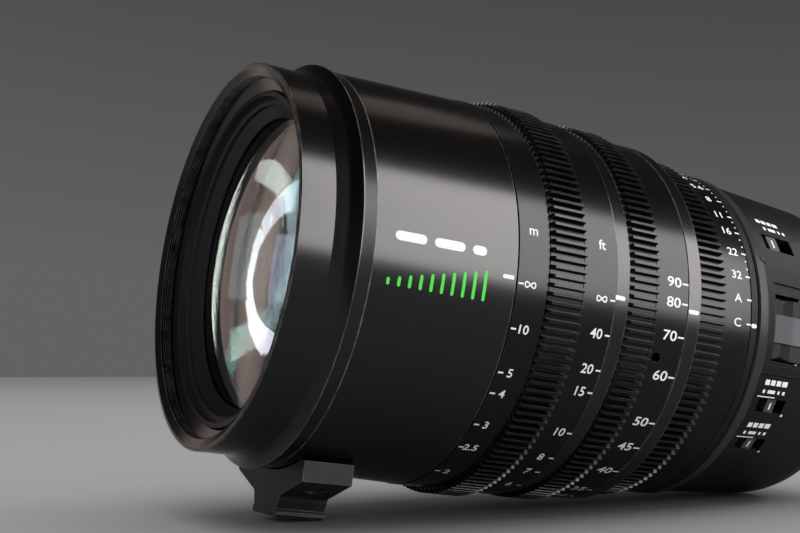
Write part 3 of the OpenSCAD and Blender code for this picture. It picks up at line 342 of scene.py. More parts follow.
def turnedGrainGroup():
    tree, given, result = groupTree(
        "turnedGrain",
        [("Colour", "NodeSocketColor", (0.02, 0.02, 0.02, 1)),
         ("Bloom", "NodeSocketColor", (0.04, 0.04, 0.04, 1)),
         ("Roughness", "NodeSocketFloat", 0.4), ("Spread", "NodeSocketFloat", 0.06),
         ("Grain", "NodeSocketFloat", 0.1), ("Fineness", "NodeSocketFloat", 2500.0),
         ("Normal", "NodeSocketVector", None)],
        [("Colour", "NodeSocketColor"), ("Roughness", "NodeSocketFloat"), ("Normal", "NodeSocketVector")])
    grain = noiseNode(tree, lathePoint(tree, given.outputs["Fineness"], turnedLook["arcs"]), 1.0, 2.0)
    coordinates = tree.nodes.new("ShaderNodeTexCoord").outputs["Object"]
    cloud = noiseNode(tree, coordinates, turnedLook["clouds"], 4.0, 0.6)
    speckle = noiseNode(tree, coordinates, turnedLook["speckles"], 2.0)
    blend = rangeNode(tree, mathNode(tree, "MULTIPLY", cloud, grain), 0.12, 0.42, 0.0, 1.0)
    tree.links.new(mixColour(tree, blend, given.outputs["Colour"], given.outputs["Bloom"]),
                   result.inputs["Colour"])
    rough = mathNode(tree, "ADD", mathNode(tree, "MULTIPLY", grain, 0.6),
                     mathNode(tree, "MULTIPLY", cloud, 0.4))
    spread = mathNode(tree, "MULTIPLY", mathNode(tree, "SUBTRACT", rough, 0.5), given.outputs["Spread"])
    tree.links.new(mathNode(tree, "ADD", given.outputs["Roughness"],
                            mathNode(tree, "MULTIPLY", spread, 2.0)),
                   result.inputs["Roughness"])
    height = mathNode(tree, "ADD", grain, mathNode(tree, "MULTIPLY", speckle, 0.6))
    tree.links.new(bumpNode(tree, height, given.outputs["Grain"], turnedLook["bump"],
                            given.outputs["Normal"]),
                   result.inputs["Normal"])
    return tree


def roundedEdgeGroup():
    tree, given, result = groupTree(
        "roundedEdge",
        [("Width", "NodeSocketFloat", 0.0002), ("WearAndHighlight", "NodeSocketFloat", 0.5),
         ("Colour", "NodeSocketColor", (0.02, 0.02, 0.02, 1)),
         ("BareAndHighlight", "NodeSocketColor", (0.3, 0.29, 0.28, 1))],
        [("Colour", "NodeSocketColor"), ("Edge", "NodeSocketFloat"), ("Normal", "NodeSocketVector")])
    bevel = tree.nodes.new("ShaderNodeBevel")
    bevel.samples = edgeLook["samples"]
    tree.links.new(given.outputs["Width"], bevel.inputs["Radius"])
    geometry = tree.nodes.new("ShaderNodeNewGeometry")
    facing = tree.nodes.new("ShaderNodeVectorMath")
    facing.operation = "DOT_PRODUCT"
    tree.links.new(bevel.outputs[0], facing.inputs[0])
    tree.links.new(geometry.outputs["Normal"], facing.inputs[1])
    edge = rangeNode(tree, facing.outputs["Value"], edgeLook["flat"], edgeLook["round"], 0.0, 1.0)
    coordinates = tree.nodes.new("ShaderNodeTexCoord").outputs["Object"]
    cloud = noiseNode(tree, coordinates, edgeLook["patches"], 5.0, 0.65)
    patches = rangeNode(tree, cloud, 0.35, 0.62, 0.15, 1.0)
    # The lighter colour on the edges is partly worn metal and partly painted highlight where the chamfers
    # would catch light
    wornAndLit = mathNode(tree, "MULTIPLY", mathNode(tree, "MULTIPLY", edge, patches), given.outputs["WearAndHighlight"])
    tree.links.new(mixColour(tree, wornAndLit, given.outputs["Colour"], given.outputs["BareAndHighlight"]),
                   result.inputs["Colour"])
    tree.links.new(wornAndLit, result.inputs["Edge"])
    tree.links.new(bevel.outputs[0], result.inputs["Normal"])
    return tree


def mouldedGrainGroup():
    tree, given, result = groupTree(
        "mouldedGrain",
        [("Colour", "NodeSocketColor", (0.02, 0.02, 0.02, 1)),
         ("Bloom", "NodeSocketColor", (0.04, 0.04, 0.04, 1)),
         ("Roughness", "NodeSocketFloat", 0.5), ("Grain", "NodeSocketFloat", 0.2),
         ("Pebble", "NodeSocketFloat", 1800.0), ("Normal", "NodeSocketVector", None)],
        [("Colour", "NodeSocketColor"), ("Roughness", "NodeSocketFloat"), ("Normal", "NodeSocketVector")])
    coordinates = tree.nodes.new("ShaderNodeTexCoord").outputs["Object"]
    pebble = tree.nodes.new("ShaderNodeTexVoronoi")
    pebble.feature = "SMOOTH_F1"
    tree.links.new(coordinates, pebble.inputs["Vector"])
    tree.links.new(given.outputs["Pebble"], pebble.inputs["Scale"])
    cloud = noiseNode(tree, coordinates, mouldedLook["clouds"], 4.0, 0.6)
    blend = rangeNode(tree, cloud, 0.35, 0.7, 0.0, 1.0)
    tree.links.new(mixColour(tree, blend, given.outputs["Colour"], given.outputs["Bloom"]),
                   result.inputs["Colour"])
    spread = mathNode(tree, "MULTIPLY", mathNode(tree, "SUBTRACT", cloud, 0.5), mouldedLook["spread"])
    tree.links.new(mathNode(tree, "ADD", given.outputs["Roughness"], spread), result.inputs["Roughness"])
    tree.links.new(bumpNode(tree, pebble.outputs["Distance"], given.outputs["Grain"], mouldedLook["bump"],
                            given.outputs["Normal"]), result.inputs["Normal"])
    return tree


def dustGroup():
    tree, given, result = groupTree(
        "dustSpecks",
        [("Colour", "NodeSocketColor", (0.02, 0.02, 0.02, 1)), ("Amount", "NodeSocketFloat", 0.3)],
        [("Colour", "NodeSocketColor")])
    coordinates = tree.nodes.new("ShaderNodeTexCoord").outputs["Object"]
    cells = tree.nodes.new("ShaderNodeTexVoronoi")
    cells.inputs["Scale"].default_value = dustLook["cells"]
    tree.links.new(coordinates, cells.inputs["Vector"])
    speck = rangeNode(tree, cells.outputs["Distance"], dustLook["core"], dustLook["rim"], 1.0, 0.0)
    few = rangeNode(tree, noiseNode(tree, coordinates, dustLook["patches"], 2.0), 0.55, 0.62, 0.0, 1.0)
    shown = mathNode(tree, "MULTIPLY", mathNode(tree, "MULTIPLY", speck, few), given.outputs["Amount"])
    tree.links.new(mixColour(tree, shown, given.outputs["Colour"], dustLook["colour"]),
                   result.inputs["Colour"])
    return tree


sharedGroups = {
    "turned": turnedGrainGroup(),
    "edge": roundedEdgeGroup(),
    "moulded": mouldedGrainGroup(),
    "dust": dustGroup(),
}


def placeGroup(tree, name, values):
    node = tree.nodes.new("ShaderNodeGroup")
    node.node_tree = sharedGroups[name]
    for label, value in values.items():
        if isinstance(value, tuple):
            node.inputs[label].default_value = (*value, 1)
        elif isinstance(value, (int, float)):
            node.inputs[label].default_value = value
        else:
            tree.links.new(value, node.inputs[label])
    return node


def blankMaterial(name):
    material = bpy.data.materials.new(name)
    material.use_nodes = True
    return material, material.node_tree, material.node_tree.nodes["Principled BSDF"]


# wear sets how strongly the edges take the bare colour: worn metal and painted edge highlight
def turnedFinish(name, colour, bloom, roughness, spread, grain, fineness, edge, wear, bareAndHighlight, specular=0.5,
                 metallic=0.0, dust=0.0):
    material, tree, shader = blankMaterial(name)
    rounded = placeGroup(tree, "edge", {"Width": edge, "WearAndHighlight": wear, "BareAndHighlight": bareAndHighlight})
    turned = placeGroup(tree, "turned", {"Colour": colour, "Bloom": bloom, "Roughness": roughness,
                                         "Spread": spread, "Grain": grain, "Fineness": fineness,
                                         "Normal": rounded.outputs["Normal"]})
    tree.links.new(turned.outputs["Colour"], rounded.inputs["Colour"])
    surface = rounded.outputs["Colour"]
    if dust:
        surface = placeGroup(tree, "dust", {"Colour": surface, "Amount": dust}).outputs["Colour"]
    tree.links.new(surface, shader.inputs["Base Color"])
    tree.links.new(turned.outputs["Roughness"], shader.inputs["Roughness"])
    tree.links.new(turned.outputs["Normal"], shader.inputs["Normal"])
    shader.inputs["Specular IOR Level"].default_value = specular
    shader.inputs["Metallic"].default_value = metallic
    return material


def axisBand(tree, axis, low, high, soft):
    # 1 between two places along an axis of the lens, 0 outside
    coordinates = tree.nodes.new("ShaderNodeTexCoord").outputs["Object"]
    split = tree.nodes.new("ShaderNodeSeparateXYZ")
    tree.links.new(coordinates, split.inputs[0])
    rise = rangeNode(tree, split.outputs[axis], low - soft, low, 0.0, 1.0)
    fall = rangeNode(tree, split.outputs[axis], high, high + soft, 1.0, 0.0)
    return mathNode(tree, "MULTIPLY", rise, fall)


# wear sets how strongly the edges take the bare colour: worn metal and painted edge highlight
def mouldedFinish(name, colour, bloom, roughness, grain, pebble, edge, wear, bareAndHighlight, specular=0.5,
                  metallic=0.0, dust=0.0, highlightBand=None):
    material, tree, shader = blankMaterial(name)
    rounded = placeGroup(tree, "edge", {"Width": edge, "WearAndHighlight": wear, "BareAndHighlight": bareAndHighlight})
    # A band along one axis is painted in a lighter colour and bloom as a highlight, and gets its own
    # roughness
    if highlightBand:
        inHighlightBand = axisBand(tree, *highlightBand["place"])
        colour = mixColour(tree, inHighlightBand, colour, highlightBand["colour"])
        bloom = mixColour(tree, inHighlightBand, bloom, tuple(1.3 * c for c in highlightBand["colour"]))
        roughness = rangeNode(tree, inHighlightBand, 0.0, 1.0, roughness, highlightBand["roughness"])
    moulded = placeGroup(tree, "moulded", {"Colour": colour, "Bloom": bloom, "Roughness": roughness,
                                           "Grain": grain, "Pebble": pebble,
                                           "Normal": rounded.outputs["Normal"]})
    tree.links.new(moulded.outputs["Colour"], rounded.inputs["Colour"])
    surface = rounded.outputs["Colour"]
    if dust:
        surface = placeGroup(tree, "dust", {"Colour": surface, "Amount": dust}).outputs["Colour"]
    tree.links.new(surface, shader.inputs["Base Color"])
    tree.links.new(moulded.outputs["Roughness"], shader.inputs["Roughness"])
    tree.links.new(moulded.outputs["Normal"], shader.inputs["Normal"])
    shader.inputs["Specular IOR Level"].default_value = specular
    shader.inputs["Metallic"].default_value = metallic
    return material


glass = {
    "colour": (0.93, 0.97, 0.98, 1),
    "refraction": 1.55,
    "coatThickness": 125.0,  # nanometres
    "coatRefraction": 1.38,
    "smearScale": 70.0,
    "clear": 0.004,  # roughness
    "smeared": 0.03,
    "soften": 3.5 * mm,
    "softenSamples": 8,
}


def coatedGlass():
    material, tree, shader = blankMaterial("coatedGlass")
    shader.inputs["Base Color"].default_value = glass["colour"]
    shader.inputs["Transmission Weight"].default_value = 1.0
    shader.inputs["IOR"].default_value = glass["refraction"]
    shader.inputs["Thin Film Thickness"].default_value = glass["coatThickness"]
    shader.inputs["Thin Film IOR"].default_value = glass["coatRefraction"]
    coordinates = tree.nodes.new("ShaderNodeTexCoord").outputs["Object"]
    smear = noiseNode(tree, coordinates, glass["smearScale"], 3.0)
    tree.links.new(rangeNode(tree, smear, 0.5, 0.8, glass["clear"], glass["smeared"]),
                   shader.inputs["Roughness"])
    soften = tree.nodes.new("ShaderNodeBevel")
    soften.samples = glass["softenSamples"]
    soften.inputs["Radius"].default_value = glass["soften"]
    tree.links.new(soften.outputs[0], shader.inputs["Normal"])
    return material


def printedPaint(name, colour):
    material, tree, shader = blankMaterial(name)
    coordinates = tree.nodes.new("ShaderNodeTexCoord").outputs["Object"]
    wear = rangeNode(tree, noiseNode(tree, coordinates, printLook["scale"], 3.0), 0.3, 0.7, 0.0, 1.0)
    darker = tuple(printLook["darker"] * c for c in colour)
    tree.links.new(mixColour(tree, wear, darker, colour), shader.inputs["Base Color"])
    tree.links.new(rangeNode(tree, wear, 0.0, 1.0, printLook["smooth"], printLook["rough"]),
                   shader.inputs["Roughness"])
    tree.links.new(bumpNode(tree, wear, 0.15, printLook["bump"]), shader.inputs["Normal"])
    return material


# Turned metal: colour, bloom, roughness, its spread, grain, fineness, edge width, wear and painted edge
# highlight, bare and highlight colour.
# Moulded and painted pieces: colour, bloom, roughness, grain, pebble, edge width, wear and painted edge
# highlight, bare and highlight colour.
# Edge colour of the barrel and index rings: bare metal and painted edge highlight
warmBareAndHighlight = (0.34, 0.32, 0.30)
finishes = {
    "barrel": turnedFinish("warmAnodised", (0.0020, 0.0016, 0.0014), (0.0034, 0.0028, 0.0024), 0.20,
                           0.015, 0.03, 2600.0, 0.00042, 1.0, warmBareAndHighlight, specular=0.47, dust=0.25),
    "index": turnedFinish("indexAnodised", (0.0032, 0.0026, 0.0022), (0.005, 0.0042, 0.0036), 0.20, 0.015,
                          0.03, 2600.0, 0.00042, 1.0, warmBareAndHighlight, specular=0.47),
    "ring": turnedFinish("coolAnodised", (0.0024, 0.0024, 0.0032), (0.004, 0.004, 0.0052), 0.21, 0.015,
                         0.03, 2600.0, 0.00016, 0.4, (0.30, 0.30, 0.33), specular=0.25, dust=0.2),
    "inner_black": turnedFinish("innerBlack", (0.0085, 0.0080, 0.0092), (0.012, 0.0115, 0.013), 0.42,
                                0.05, 0.06, 1600.0, 0.00018, 0.15, (0.2, 0.19, 0.2), specular=0.25),
    "tube": turnedFinish("tubeAnodised", (0.02, 0.02, 0.022), (0.03, 0.03, 0.034), 0.35, 0.06, 0.1, 1800.0,
                         0.0002, 0.3, (0.4, 0.4, 0.42)),
    "cam": turnedFinish("camAluminium", (0.42, 0.43, 0.45), (0.55, 0.56, 0.58), 0.30, 0.06, 0.12, 1800.0,
                        0.0002, 0.2, (0.7, 0.7, 0.72), metallic=1.0),
    "blade": turnedFinish("bladeSteel", (0.045, 0.045, 0.05), (0.07, 0.07, 0.078), 0.42, 0.06, 0.08, 1500.0,
                          0.00008, 0.2, (0.4, 0.4, 0.42), metallic=0.6),
    "screw_black": turnedFinish("screwBlack", (0.012, 0.012, 0.013), (0.02, 0.02, 0.021), 0.32, 0.05,
                                0.08, 1500.0, 0.00015, 0.3, (0.3, 0.3, 0.3), specular=0.4),
    "coated_glass": coatedGlass(),
    "foot": mouldedFinish("footAnodised", (0.011, 0.011, 0.0115), (0.017, 0.017, 0.018), 0.40, 0.22, 2600.0,
                          0.0003, 0.55, (0.45, 0.45, 0.46), specular=0.3, dust=0.3),
    "rear_body": mouldedFinish("rearPaint", (0.0055, 0.0062, 0.0072), (0.008, 0.0088, 0.010), 0.42, 0.35,
                               2200.0, 0.0003, 0.25, (0.16, 0.17, 0.19), specular=0.14, dust=0.2,
                               # The front rim is painted lighter as its highlight, and is also glossier
                               highlightBand={"place": ("X", -0.0645, -0.0605, 0.0002),
                                     "colour": (0.026, 0.026, 0.027), "roughness": 0.22}),
    "rocker": mouldedFinish("rockerRubber", (0.007, 0.007, 0.009), (0.010, 0.010, 0.013), 0.40, 0.3, 2400.0,
                            0.0005, 0.2, (0.1, 0.1, 0.12), specular=0.2,
                            # The rocker's pad is painted lighter as its highlight
                            highlightBand={"place": ("Z", -0.0034, 0.0054, 0.0001), "colour": (0.075, 0.075, 0.082),
                                  "roughness": 0.36}),
    "knob": mouldedFinish("knobPlastic", (0.035, 0.036, 0.040), (0.05, 0.051, 0.056), 0.45, 0.25, 2400.0,
                          0.0003, 0.4, (0.3, 0.3, 0.32)),
    "board": mouldedFinish("boardMask", (0.004, 0.022, 0.012), (0.007, 0.030, 0.017), 0.35, 0.1, 900.0,
                           0.0001, 0.2, (0.35, 0.3, 0.1)),
    "motor": turnedFinish("motorCan", (0.55, 0.56, 0.58), (0.65, 0.66, 0.68), 0.25, 0.05, 0.08, 1500.0,
                          0.0002, 0.1, (0.8, 0.8, 0.8), metallic=1.0),
    "mount_steel": turnedFinish("mountSteel", (0.62, 0.61, 0.58), (0.72, 0.71, 0.68), 0.24, 0.06, 0.12,
                                1900.0, 0.0002, 0.15, (0.85, 0.85, 0.83), metallic=1.0),
    "screw_steel": turnedFinish("screwSteel", (0.35, 0.35, 0.36), (0.48, 0.48, 0.49), 0.28, 0.05, 0.08,
                                1500.0, 0.00015, 0.3, (0.7, 0.7, 0.7), metallic=1.0),
    "contact_plastic": mouldedFinish("contactPlastic", (0.008, 0.008, 0.009), (0.013, 0.013, 0.014), 0.4,
                                     0.15, 2000.0, 0.0002, 0.1, (0.1, 0.1, 0.1)),
    "gold": turnedFinish("contactGold", (0.83, 0.58, 0.22), (0.90, 0.66, 0.30), 0.22, 0.04, 0.05, 1500.0,
                         0.0001, 0.1, (0.95, 0.8, 0.5), metallic=1.0),
}
paint = {
    "white": printedPaint("whitePrint", (0.84, 0.85, 0.86)),
    "green": printedPaint("greenPrint", (0.045, 0.72, 0.035)),
}


def dressNodes():
    for node in nodes.values():
        node.data.materials[0] = finishes[node.data.materials[0].name]
    print("finishes on", len(nodes), "nodes")


# Places on the lens: station along X, angle from +Z towards -Y
surfaces = {}
farOut = 100 * mm  # past every surface of the lens
nearby = (0, 0.4 * mm, -0.4 * mm, 1.2 * mm, -1.2 * mm)  # tried in turn where a node ends short of a station


def surfaceOf(node):
    if node not in surfaces:
        mesh = nodes[node].data
        surfaces[node] = BVHTree.FromPolygons([v.co for v in mesh.vertices],
                                              [p.vertices for p in mesh.polygons])
    return surfaces[node]


def lathePlace(station, angle, radius):
    a = math.radians(angle)
    return Vector((station, -radius * math.sin(a), radius * math.cos(a)))


def surfaceRadius(node, station, angle):
    for shift in nearby:
        outside = lathePlace(station + shift, angle, farOut)
        hit = surfaceOf(node).ray_cast(outside, (Vector((station + shift, 0, 0)) - outside).normalized())[0]
        if hit:
            return math.hypot(hit.y, hit.z)
    raise ValueError(f"{node} has no surface at {station / mm:.1f} mm, {angle:.0f} degrees")


def finishedPiece(name, shape, material, body):
    mesh = bpy.data.meshes.new(name)
    shape.to_mesh(mesh)
    shape.free()
    mesh.materials.append(material)
    piece = bpy.data.objects.new(name, mesh)
    bpy.context.scene.collection.objects.link(piece)
    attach(piece, body)


# Printing: flat shapes with x along the axis and y up round the lens, laid on the surface of a node
printing = {
    "thickness": 0.05 * mm,
    "boldShare": 0.012,
    "capitalShare": 0.73,  # a capital's height as a share of the font size
    "curveSteps": 3,
    "finest": 1.2 * mm,
    "roundSteps": 5,
    "ribbonSteps": 48,
    "scaleTick": 0.5 * mm,
    "knobTick": 0.6 * mm,
}


def wrapPrint(shape, flat, node, station, angle):
    around = surfaceRadius(node, station, angle)
    copies = {}
    for v in flat.verts:
        x = station + v.co.x
        a = angle - math.degrees(v.co.y / around)
        copies[v] = shape.verts.new(lathePlace(x, a, surfaceRadius(node, x, a) + v.co.z))
    for f in flat.faces:
        shape.faces.new([copies[v] for v in f.verts])
    flat.free()


def letterShape(text, height, wide=1.0):
    curve = bpy.data.curves.new("letters", "FONT")
    curve.body = text
    curve.align_x = "CENTER"
    curve.align_y = "CENTER"
    curve.size = height / printing["capitalShare"]
    curve.offset = printing["boldShare"] * curve.size
    curve.resolution_u = printing["curveSteps"]
    curve.extrude = printing["thickness"]
    letters = bpy.data.objects.new("letters", curve)
    bpy.context.scene.collection.objects.link(letters)
    bpy.context.view_layer.update()
    mesh = bpy.data.meshes.new_from_object(letters.evaluated_get(bpy.context.evaluated_depsgraph_get()))
    bpy.data.objects.remove(letters)
    flat = bmesh.new()
    flat.from_mesh(mesh)
    bpy.data.meshes.remove(mesh)
    for v in flat.verts:
        v.co.x *= wide
    return flat


def outlineShape(points):
    # Closed flat solid from an outline, with y cut finely enough to follow the curve of the lens
    flat = bmesh.new()
    face = flat.faces.new([flat.verts.new((x, y, 0)) for x, y in points])
    bmesh.ops.recalc_face_normals(flat, faces=[face])
    if face.normal.z < 0:
        face.normal_flip()
    low, high = min(y for _, y in points), max(y for _, y in points)
    y = low + printing["finest"]
    while y < high:
        everything = flat.verts[:] + flat.edges[:] + flat.faces[:]
        bmesh.ops.bisect_plane(flat, geom=everything, plane_co=(0, y, 0), plane_no=(0, 1, 0))
        y += printing["finest"]
    top = bmesh.ops.extrude_face_region(flat, geom=flat.faces[:])["geom"]
    for v in top:
        if isinstance(v, bmesh.types.BMVert):
            v.co.z += printing["thickness"]
    for v in flat.verts:
        v.co.z -= printing["thickness"] / 2
    bmesh.ops.recalc_face_normals(flat, faces=flat.faces[:])
    return flat


def barShape(length, width, roundStart=False, roundEnd=False, upright=False):
    half, corner = width / 2, printing["roundSteps"]
    points = []
    for x, side, rounded in ((length, 1, roundEnd), (0, -1, roundStart)):
        if rounded:
            points += [(x - side * half + side * half * math.cos(a), side * half * math.sin(a))
                       for a in (math.pi * (i / corner - 0.5) for i in range(corner + 1))]
        else:
            points += [(x, -side * half), (x, side * half)]
    if upright:
        points = [(-y, x) for x, y in points]
    return outlineShape(points)


def endlessShape(width, height, stroke):
    # Lying eight, swept as a ribbon along a lemniscate-like curve
    flat = bmesh.new()
    count, ribbon = printing["ribbonSteps"], []
    for i in range(count):
        t = 2 * math.pi * i / count
        centre = Vector((width / 2 * math.cos(t), height / 2 * math.sin(2 * t)))
        along = Vector((-width / 2 * math.sin(t), height * math.cos(2 * t))).normalized()
        aside = Vector((-along.y, along.x)) * stroke / 2
        ribbon.append([flat.verts.new((centre.x + side * aside.x, centre.y + side * aside.y, z))
                       for z in (printing["thickness"], -printing["thickness"]) for side in (1, -1)])
    for i in range(count):
        a, b = ribbon[i], ribbon[(i + 1) % count]
        for p, q in ((0, 1), (1, 3), (3, 2), (2, 0)):
            flat.faces.new([a[p], a[q], b[q], b[p]])
    bmesh.ops.recalc_face_normals(flat, faces=flat.faces[:])
    return flat


# Scales: label, angle; stations are offsets from the front of the ring, in millimetres
metreScale = {
    "node": "focus_ring", "body": "focus_drive", "tickStart": 0.3, "tickLength": 1.7, "label": 4.2,
    "height": 2.6, "wide": 1.12, "unitPlace": (4.6, 76.5), "unit": "m", "unitHeight": 3.0,
    "marks": [("", 91.1), ("10", 103.0), ("5", 115.1), ("4", 121.3), ("3", 131.8),
              ("2.5", 140.9), ("2", 154.3), ("1.5", 173.0), ("1.2", 196.0), ("1", 226.0)],
}
footScale = {
    "node": "focus_ring", "body": "focus_drive", "tickStart": 31.4, "tickLength": 1.7, "label": 28.4,
    "height": 3.0, "wide": 1.03, "unitPlace": (28.0, 76.5), "unit": "ft", "unitHeight": 3.0,
    "marks": [("", 91.2), ("40", 100.7), ("20", 110.5), ("15", 117.1), ("10", 130.7), ("8", 141.1),
              ("7", 148.5), ("6", 158.2), ("5", 173.5), ("4", 195.0), ("3.5", 212.0), ("3", 232.0)],
}
zoomScale = {
    "node": "zoom_ring", "body": "zoom_drive", "tickStart": 19.5, "tickLength": 2.2, "label": 16.4,
    "height": 3.1, "wide": 1.27, "unitPlace": None,
    "marks": [("90", 82.5), ("80", 88.3), ("70", 97.8), ("60", 109.5), ("50", 124.4),
              ("45", 133.9), ("40", 145.3), ("35", 159.0), ("32", 168.5)],
}
irisScale = {
    "node": "iris_ring", "body": "iris_drive", "tickStart": 21.5, "tickLength": 1.8, "label": 17.9,
    "height": 2.7, "wide": 1.15, "unitPlace": None,
    "marks": [("C", 89.8), ("A", 81.9), ("32", 74.1), ("22", 65.9), ("16", 57.6),
              ("11", 50.4), ("8", 42.2), ("5.6", 34.1), ("4", 26.0), ("2.9", 17.9)],
}
endless = {"length": 3.4 * mm, "height": 1.5 * mm, "stroke": 0.42 * mm}


def printedScale(name, scales):
    shape = bmesh.new()
    for scale in scales:
        node = scale["node"]
        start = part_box(node)[0].x
        for label, angle in scale["marks"]:
            wrapPrint(shape, barShape(scale["tickLength"] * mm, printing["scaleTick"]), node,
                      start + scale["tickStart"] * mm, angle)
            if label:
                flat = letterShape(label, scale["height"] * mm, scale["wide"])
            else:
                flat = endlessShape(endless["length"], endless["height"], endless["stroke"])
            wrapPrint(shape, flat, node, start + scale["label"] * mm, angle)
        if scale["unitPlace"]:
            station, angle = scale["unitPlace"]
            wrapPrint(shape, letterShape(scale["unit"], scale["unitHeight"] * mm), node,
                      start + station * mm, angle)
    finishedPiece(name, shape, paint["white"], scales[0]["body"])


# Index marks on the pieces that stand still: node, offset from an end of it, length, width, round ends
indexMarks = [
    {"node": "front_barrel", "fromEnd": -4.6, "length": 3.6, "width": 1.15,
     "roundStart": True, "roundEnd": False},
    {"node": "index_ring_front", "from": 0.0, "length": 3.8, "width": 1.3,
     "roundStart": False, "roundEnd": True},
    {"node": "index_ring_rear", "from": 0.4, "length": 3.9, "width": 1.3,
     "roundStart": True, "roundEnd": True},
    {"node": "rear_housing", "from": 0.15, "length": 2.2, "width": 1.3,
     "roundStart": True, "roundEnd": True},
]
indexAngle = 90.0


def printedIndexes():
    shape = bmesh.new()
    for mark in indexMarks:
        low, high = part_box(mark["node"])
        station = low.x + mark["from"] * mm if "from" in mark else high.x + mark["fromEnd"] * mm
        flat = barShape(mark["length"] * mm, mark["width"] * mm, mark["roundStart"], mark["roundEnd"])
        wrapPrint(shape, flat, mark["node"], station, indexAngle)
    finishedPiece("indexMarks", shape, paint["white"], "housing")


# Plain decoration on the barrel: a climbing row of bars, and a row of long dashes above it
motif = {
    "node": "front_barrel", "start": 5.0, "barPitch": 3.2, "barWidth": 0.95, "barLow": 2.0, "barHigh": 8.4,
    "bars": 10, "barAngle": 97.5, "dashStart": 5.6, "dashAngle": 84.6, "dashHeight": 2.6,
    "dashes": (9.5, 9.5, 4.5), "dashGap": 2.2,
}


def longDashes():
    shape = bmesh.new()
    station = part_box(motif["node"])[0].x + motif["dashStart"] * mm
    for length in motif["dashes"]:
        flat = barShape(length * mm, motif["dashHeight"] * mm, True, True)
        wrapPrint(shape, flat, motif["node"], station, motif["dashAngle"])
        station += (length + motif["dashGap"]) * mm
    finishedPiece("longDashes", shape, paint["white"], "housing")


def climbingBars():
    shape = bmesh.new()
    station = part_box(motif["node"])[0].x + motif["start"] * mm
    for i in range(motif["bars"]):
        share = i / (motif["bars"] - 1)
        height = (motif["barLow"] + (motif["barHigh"] - motif["barLow"]) * share) * mm
        flat = barShape(height, motif["barWidth"] * mm, True, True, upright=True)
        wrapPrint(shape, flat, motif["node"], station + i * motif["barPitch"] * mm, motif["barAngle"])
    finishedPiece("climbingBars", shape, paint["green"], "housing")


# Small bars round the controls: station from the lip, angle, height, and a row of (along, length) in mm
blockRow = ((0.0, 1.9), (2.5, 1.9), (5.0, 1.9), (7.5, 2.3))
stepRow = ((0.0, 1.0), (2.2, 3.2), (6.6, 0.9), (8.7, 1.1))
controlLabels = [
    {"station": 165.3, "angle": 107.3, "height": 1.7, "row": blockRow},
    {"station": 165.3, "angle": 110.5, "height": 1.1, "row": stepRow},
    {"station": 165.3, "angle": 123.2, "height": 1.7, "row": blockRow},
    {"station": 165.3, "angle": 126.4, "height": 1.1, "row": stepRow},
    {"station": 167.3, "angle": 46.6, "height": 1.6, "row": blockRow},
    {"station": 169.0, "angle": 50.1, "height": 1.3, "row": stepRow},
    {"station": 163.7, "angle": 112.4, "height": 0.3, "row": ((0.0, 7.7),)},
    {"station": 163.5, "angle": 128.3, "height": 0.3, "row": ((0.0, 7.3),)},
    {"station": 177.1, "angle": 118.6, "height": 0.8, "row": ((0.0, 0.8),)},
    {"station": 177.1, "angle": 134.6, "height": 0.8, "row": ((0.0, 0.8),)},
]
# Lines on the sliders: node, body, length
knobTicks = [("top_switch", "top_slider", 3.2), ("zoom_speed_switch", "zoom_speed_slider", 2.4),
             ("focus_speed_switch", "focus_speed_slider", 2.4)]


def printedControls():
    shape = bmesh.new()
    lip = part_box("front_ring")[0].x
    for label in controlLabels:
        for along, length in label["row"]:
            wrapPrint(shape, barShape(length * mm, label["height"] * mm), "rear_housing",
                      lip + (label["station"] + along) * mm, label["angle"])
    finishedPiece("controlPrint", shape, paint["white"], "housing")
    for node, body, length in knobTicks:
        low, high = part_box(node)
        middle = (low + high) / 2
        angle = math.degrees(math.atan2(-middle.y, middle.z))
        around = math.hypot(middle.y, middle.z)
        shape = bmesh.new()
        wrapPrint(shape, barShape(length * mm, printing["knobTick"], upright=True), node, middle.x,
                  angle + math.degrees(length * mm / 2 / around))
        finishedPiece(body + "Tick", shape, paint["white"], body)


# Pieces grown from a few points by Geometry Nodes
def grownPiece(name, places, tree, values, body):
    seed = bpy.data.meshes.new(name)
    seed.from_pydata(places, [], [])
    piece = bpy.data.objects.new(name, seed)
    bpy.context.scene.collection.objects.link(piece)
    growth = piece.modifiers.new("growth", "NODES")
    growth.node_group = tree
    for item in tree.interface.items_tree:
        if item.item_type == "SOCKET" and item.in_out == "INPUT" and item.name in values:
            growth[item.identifier] = values[item.name]
    piece.update_tag()
    bpy.context.view_layer.update()
    mesh = bpy.data.meshes.new_from_object(piece.evaluated_get(bpy.context.evaluated_depsgraph_get()))
    piece.modifiers.remove(growth)
    piece.data = mesh
    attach(piece, body)


def grow(tree, kind, values, output=0, **settings):
    node = tree.nodes.new(kind)
    for label, value in settings.items():
        setattr(node, label, value)
    for label, value in values.items():
        socket = next(s for s in node.inputs if s.name == label and s.enabled)
        if hasattr(value, "is_output"):
            tree.links.new(value, socket)
        else:
            socket.default_value = value
    return [s for s in node.outputs if s.enabled][output]


def standingCopies(tree, given, shape, facing, result):
    # One copy of a shape at each point, its Z turned to face a direction
    turn = grow(tree, "FunctionNodeAlignRotationToVector", {"Vector": facing}, axis="Z")
    copies = grow(tree, "GeometryNodeInstanceOnPoints",
                  {"Points": given.outputs["Geometry"], "Instance": shape, "Rotation": turn})
    whole = grow(tree, "GeometryNodeRealizeInstances", {"Geometry": copies})
    painted = grow(tree, "GeometryNodeSetMaterial", {"Geometry": whole,
                                                     "Material": given.outputs["Material"]})
    tree.links.new(painted, result.inputs["Geometry"])


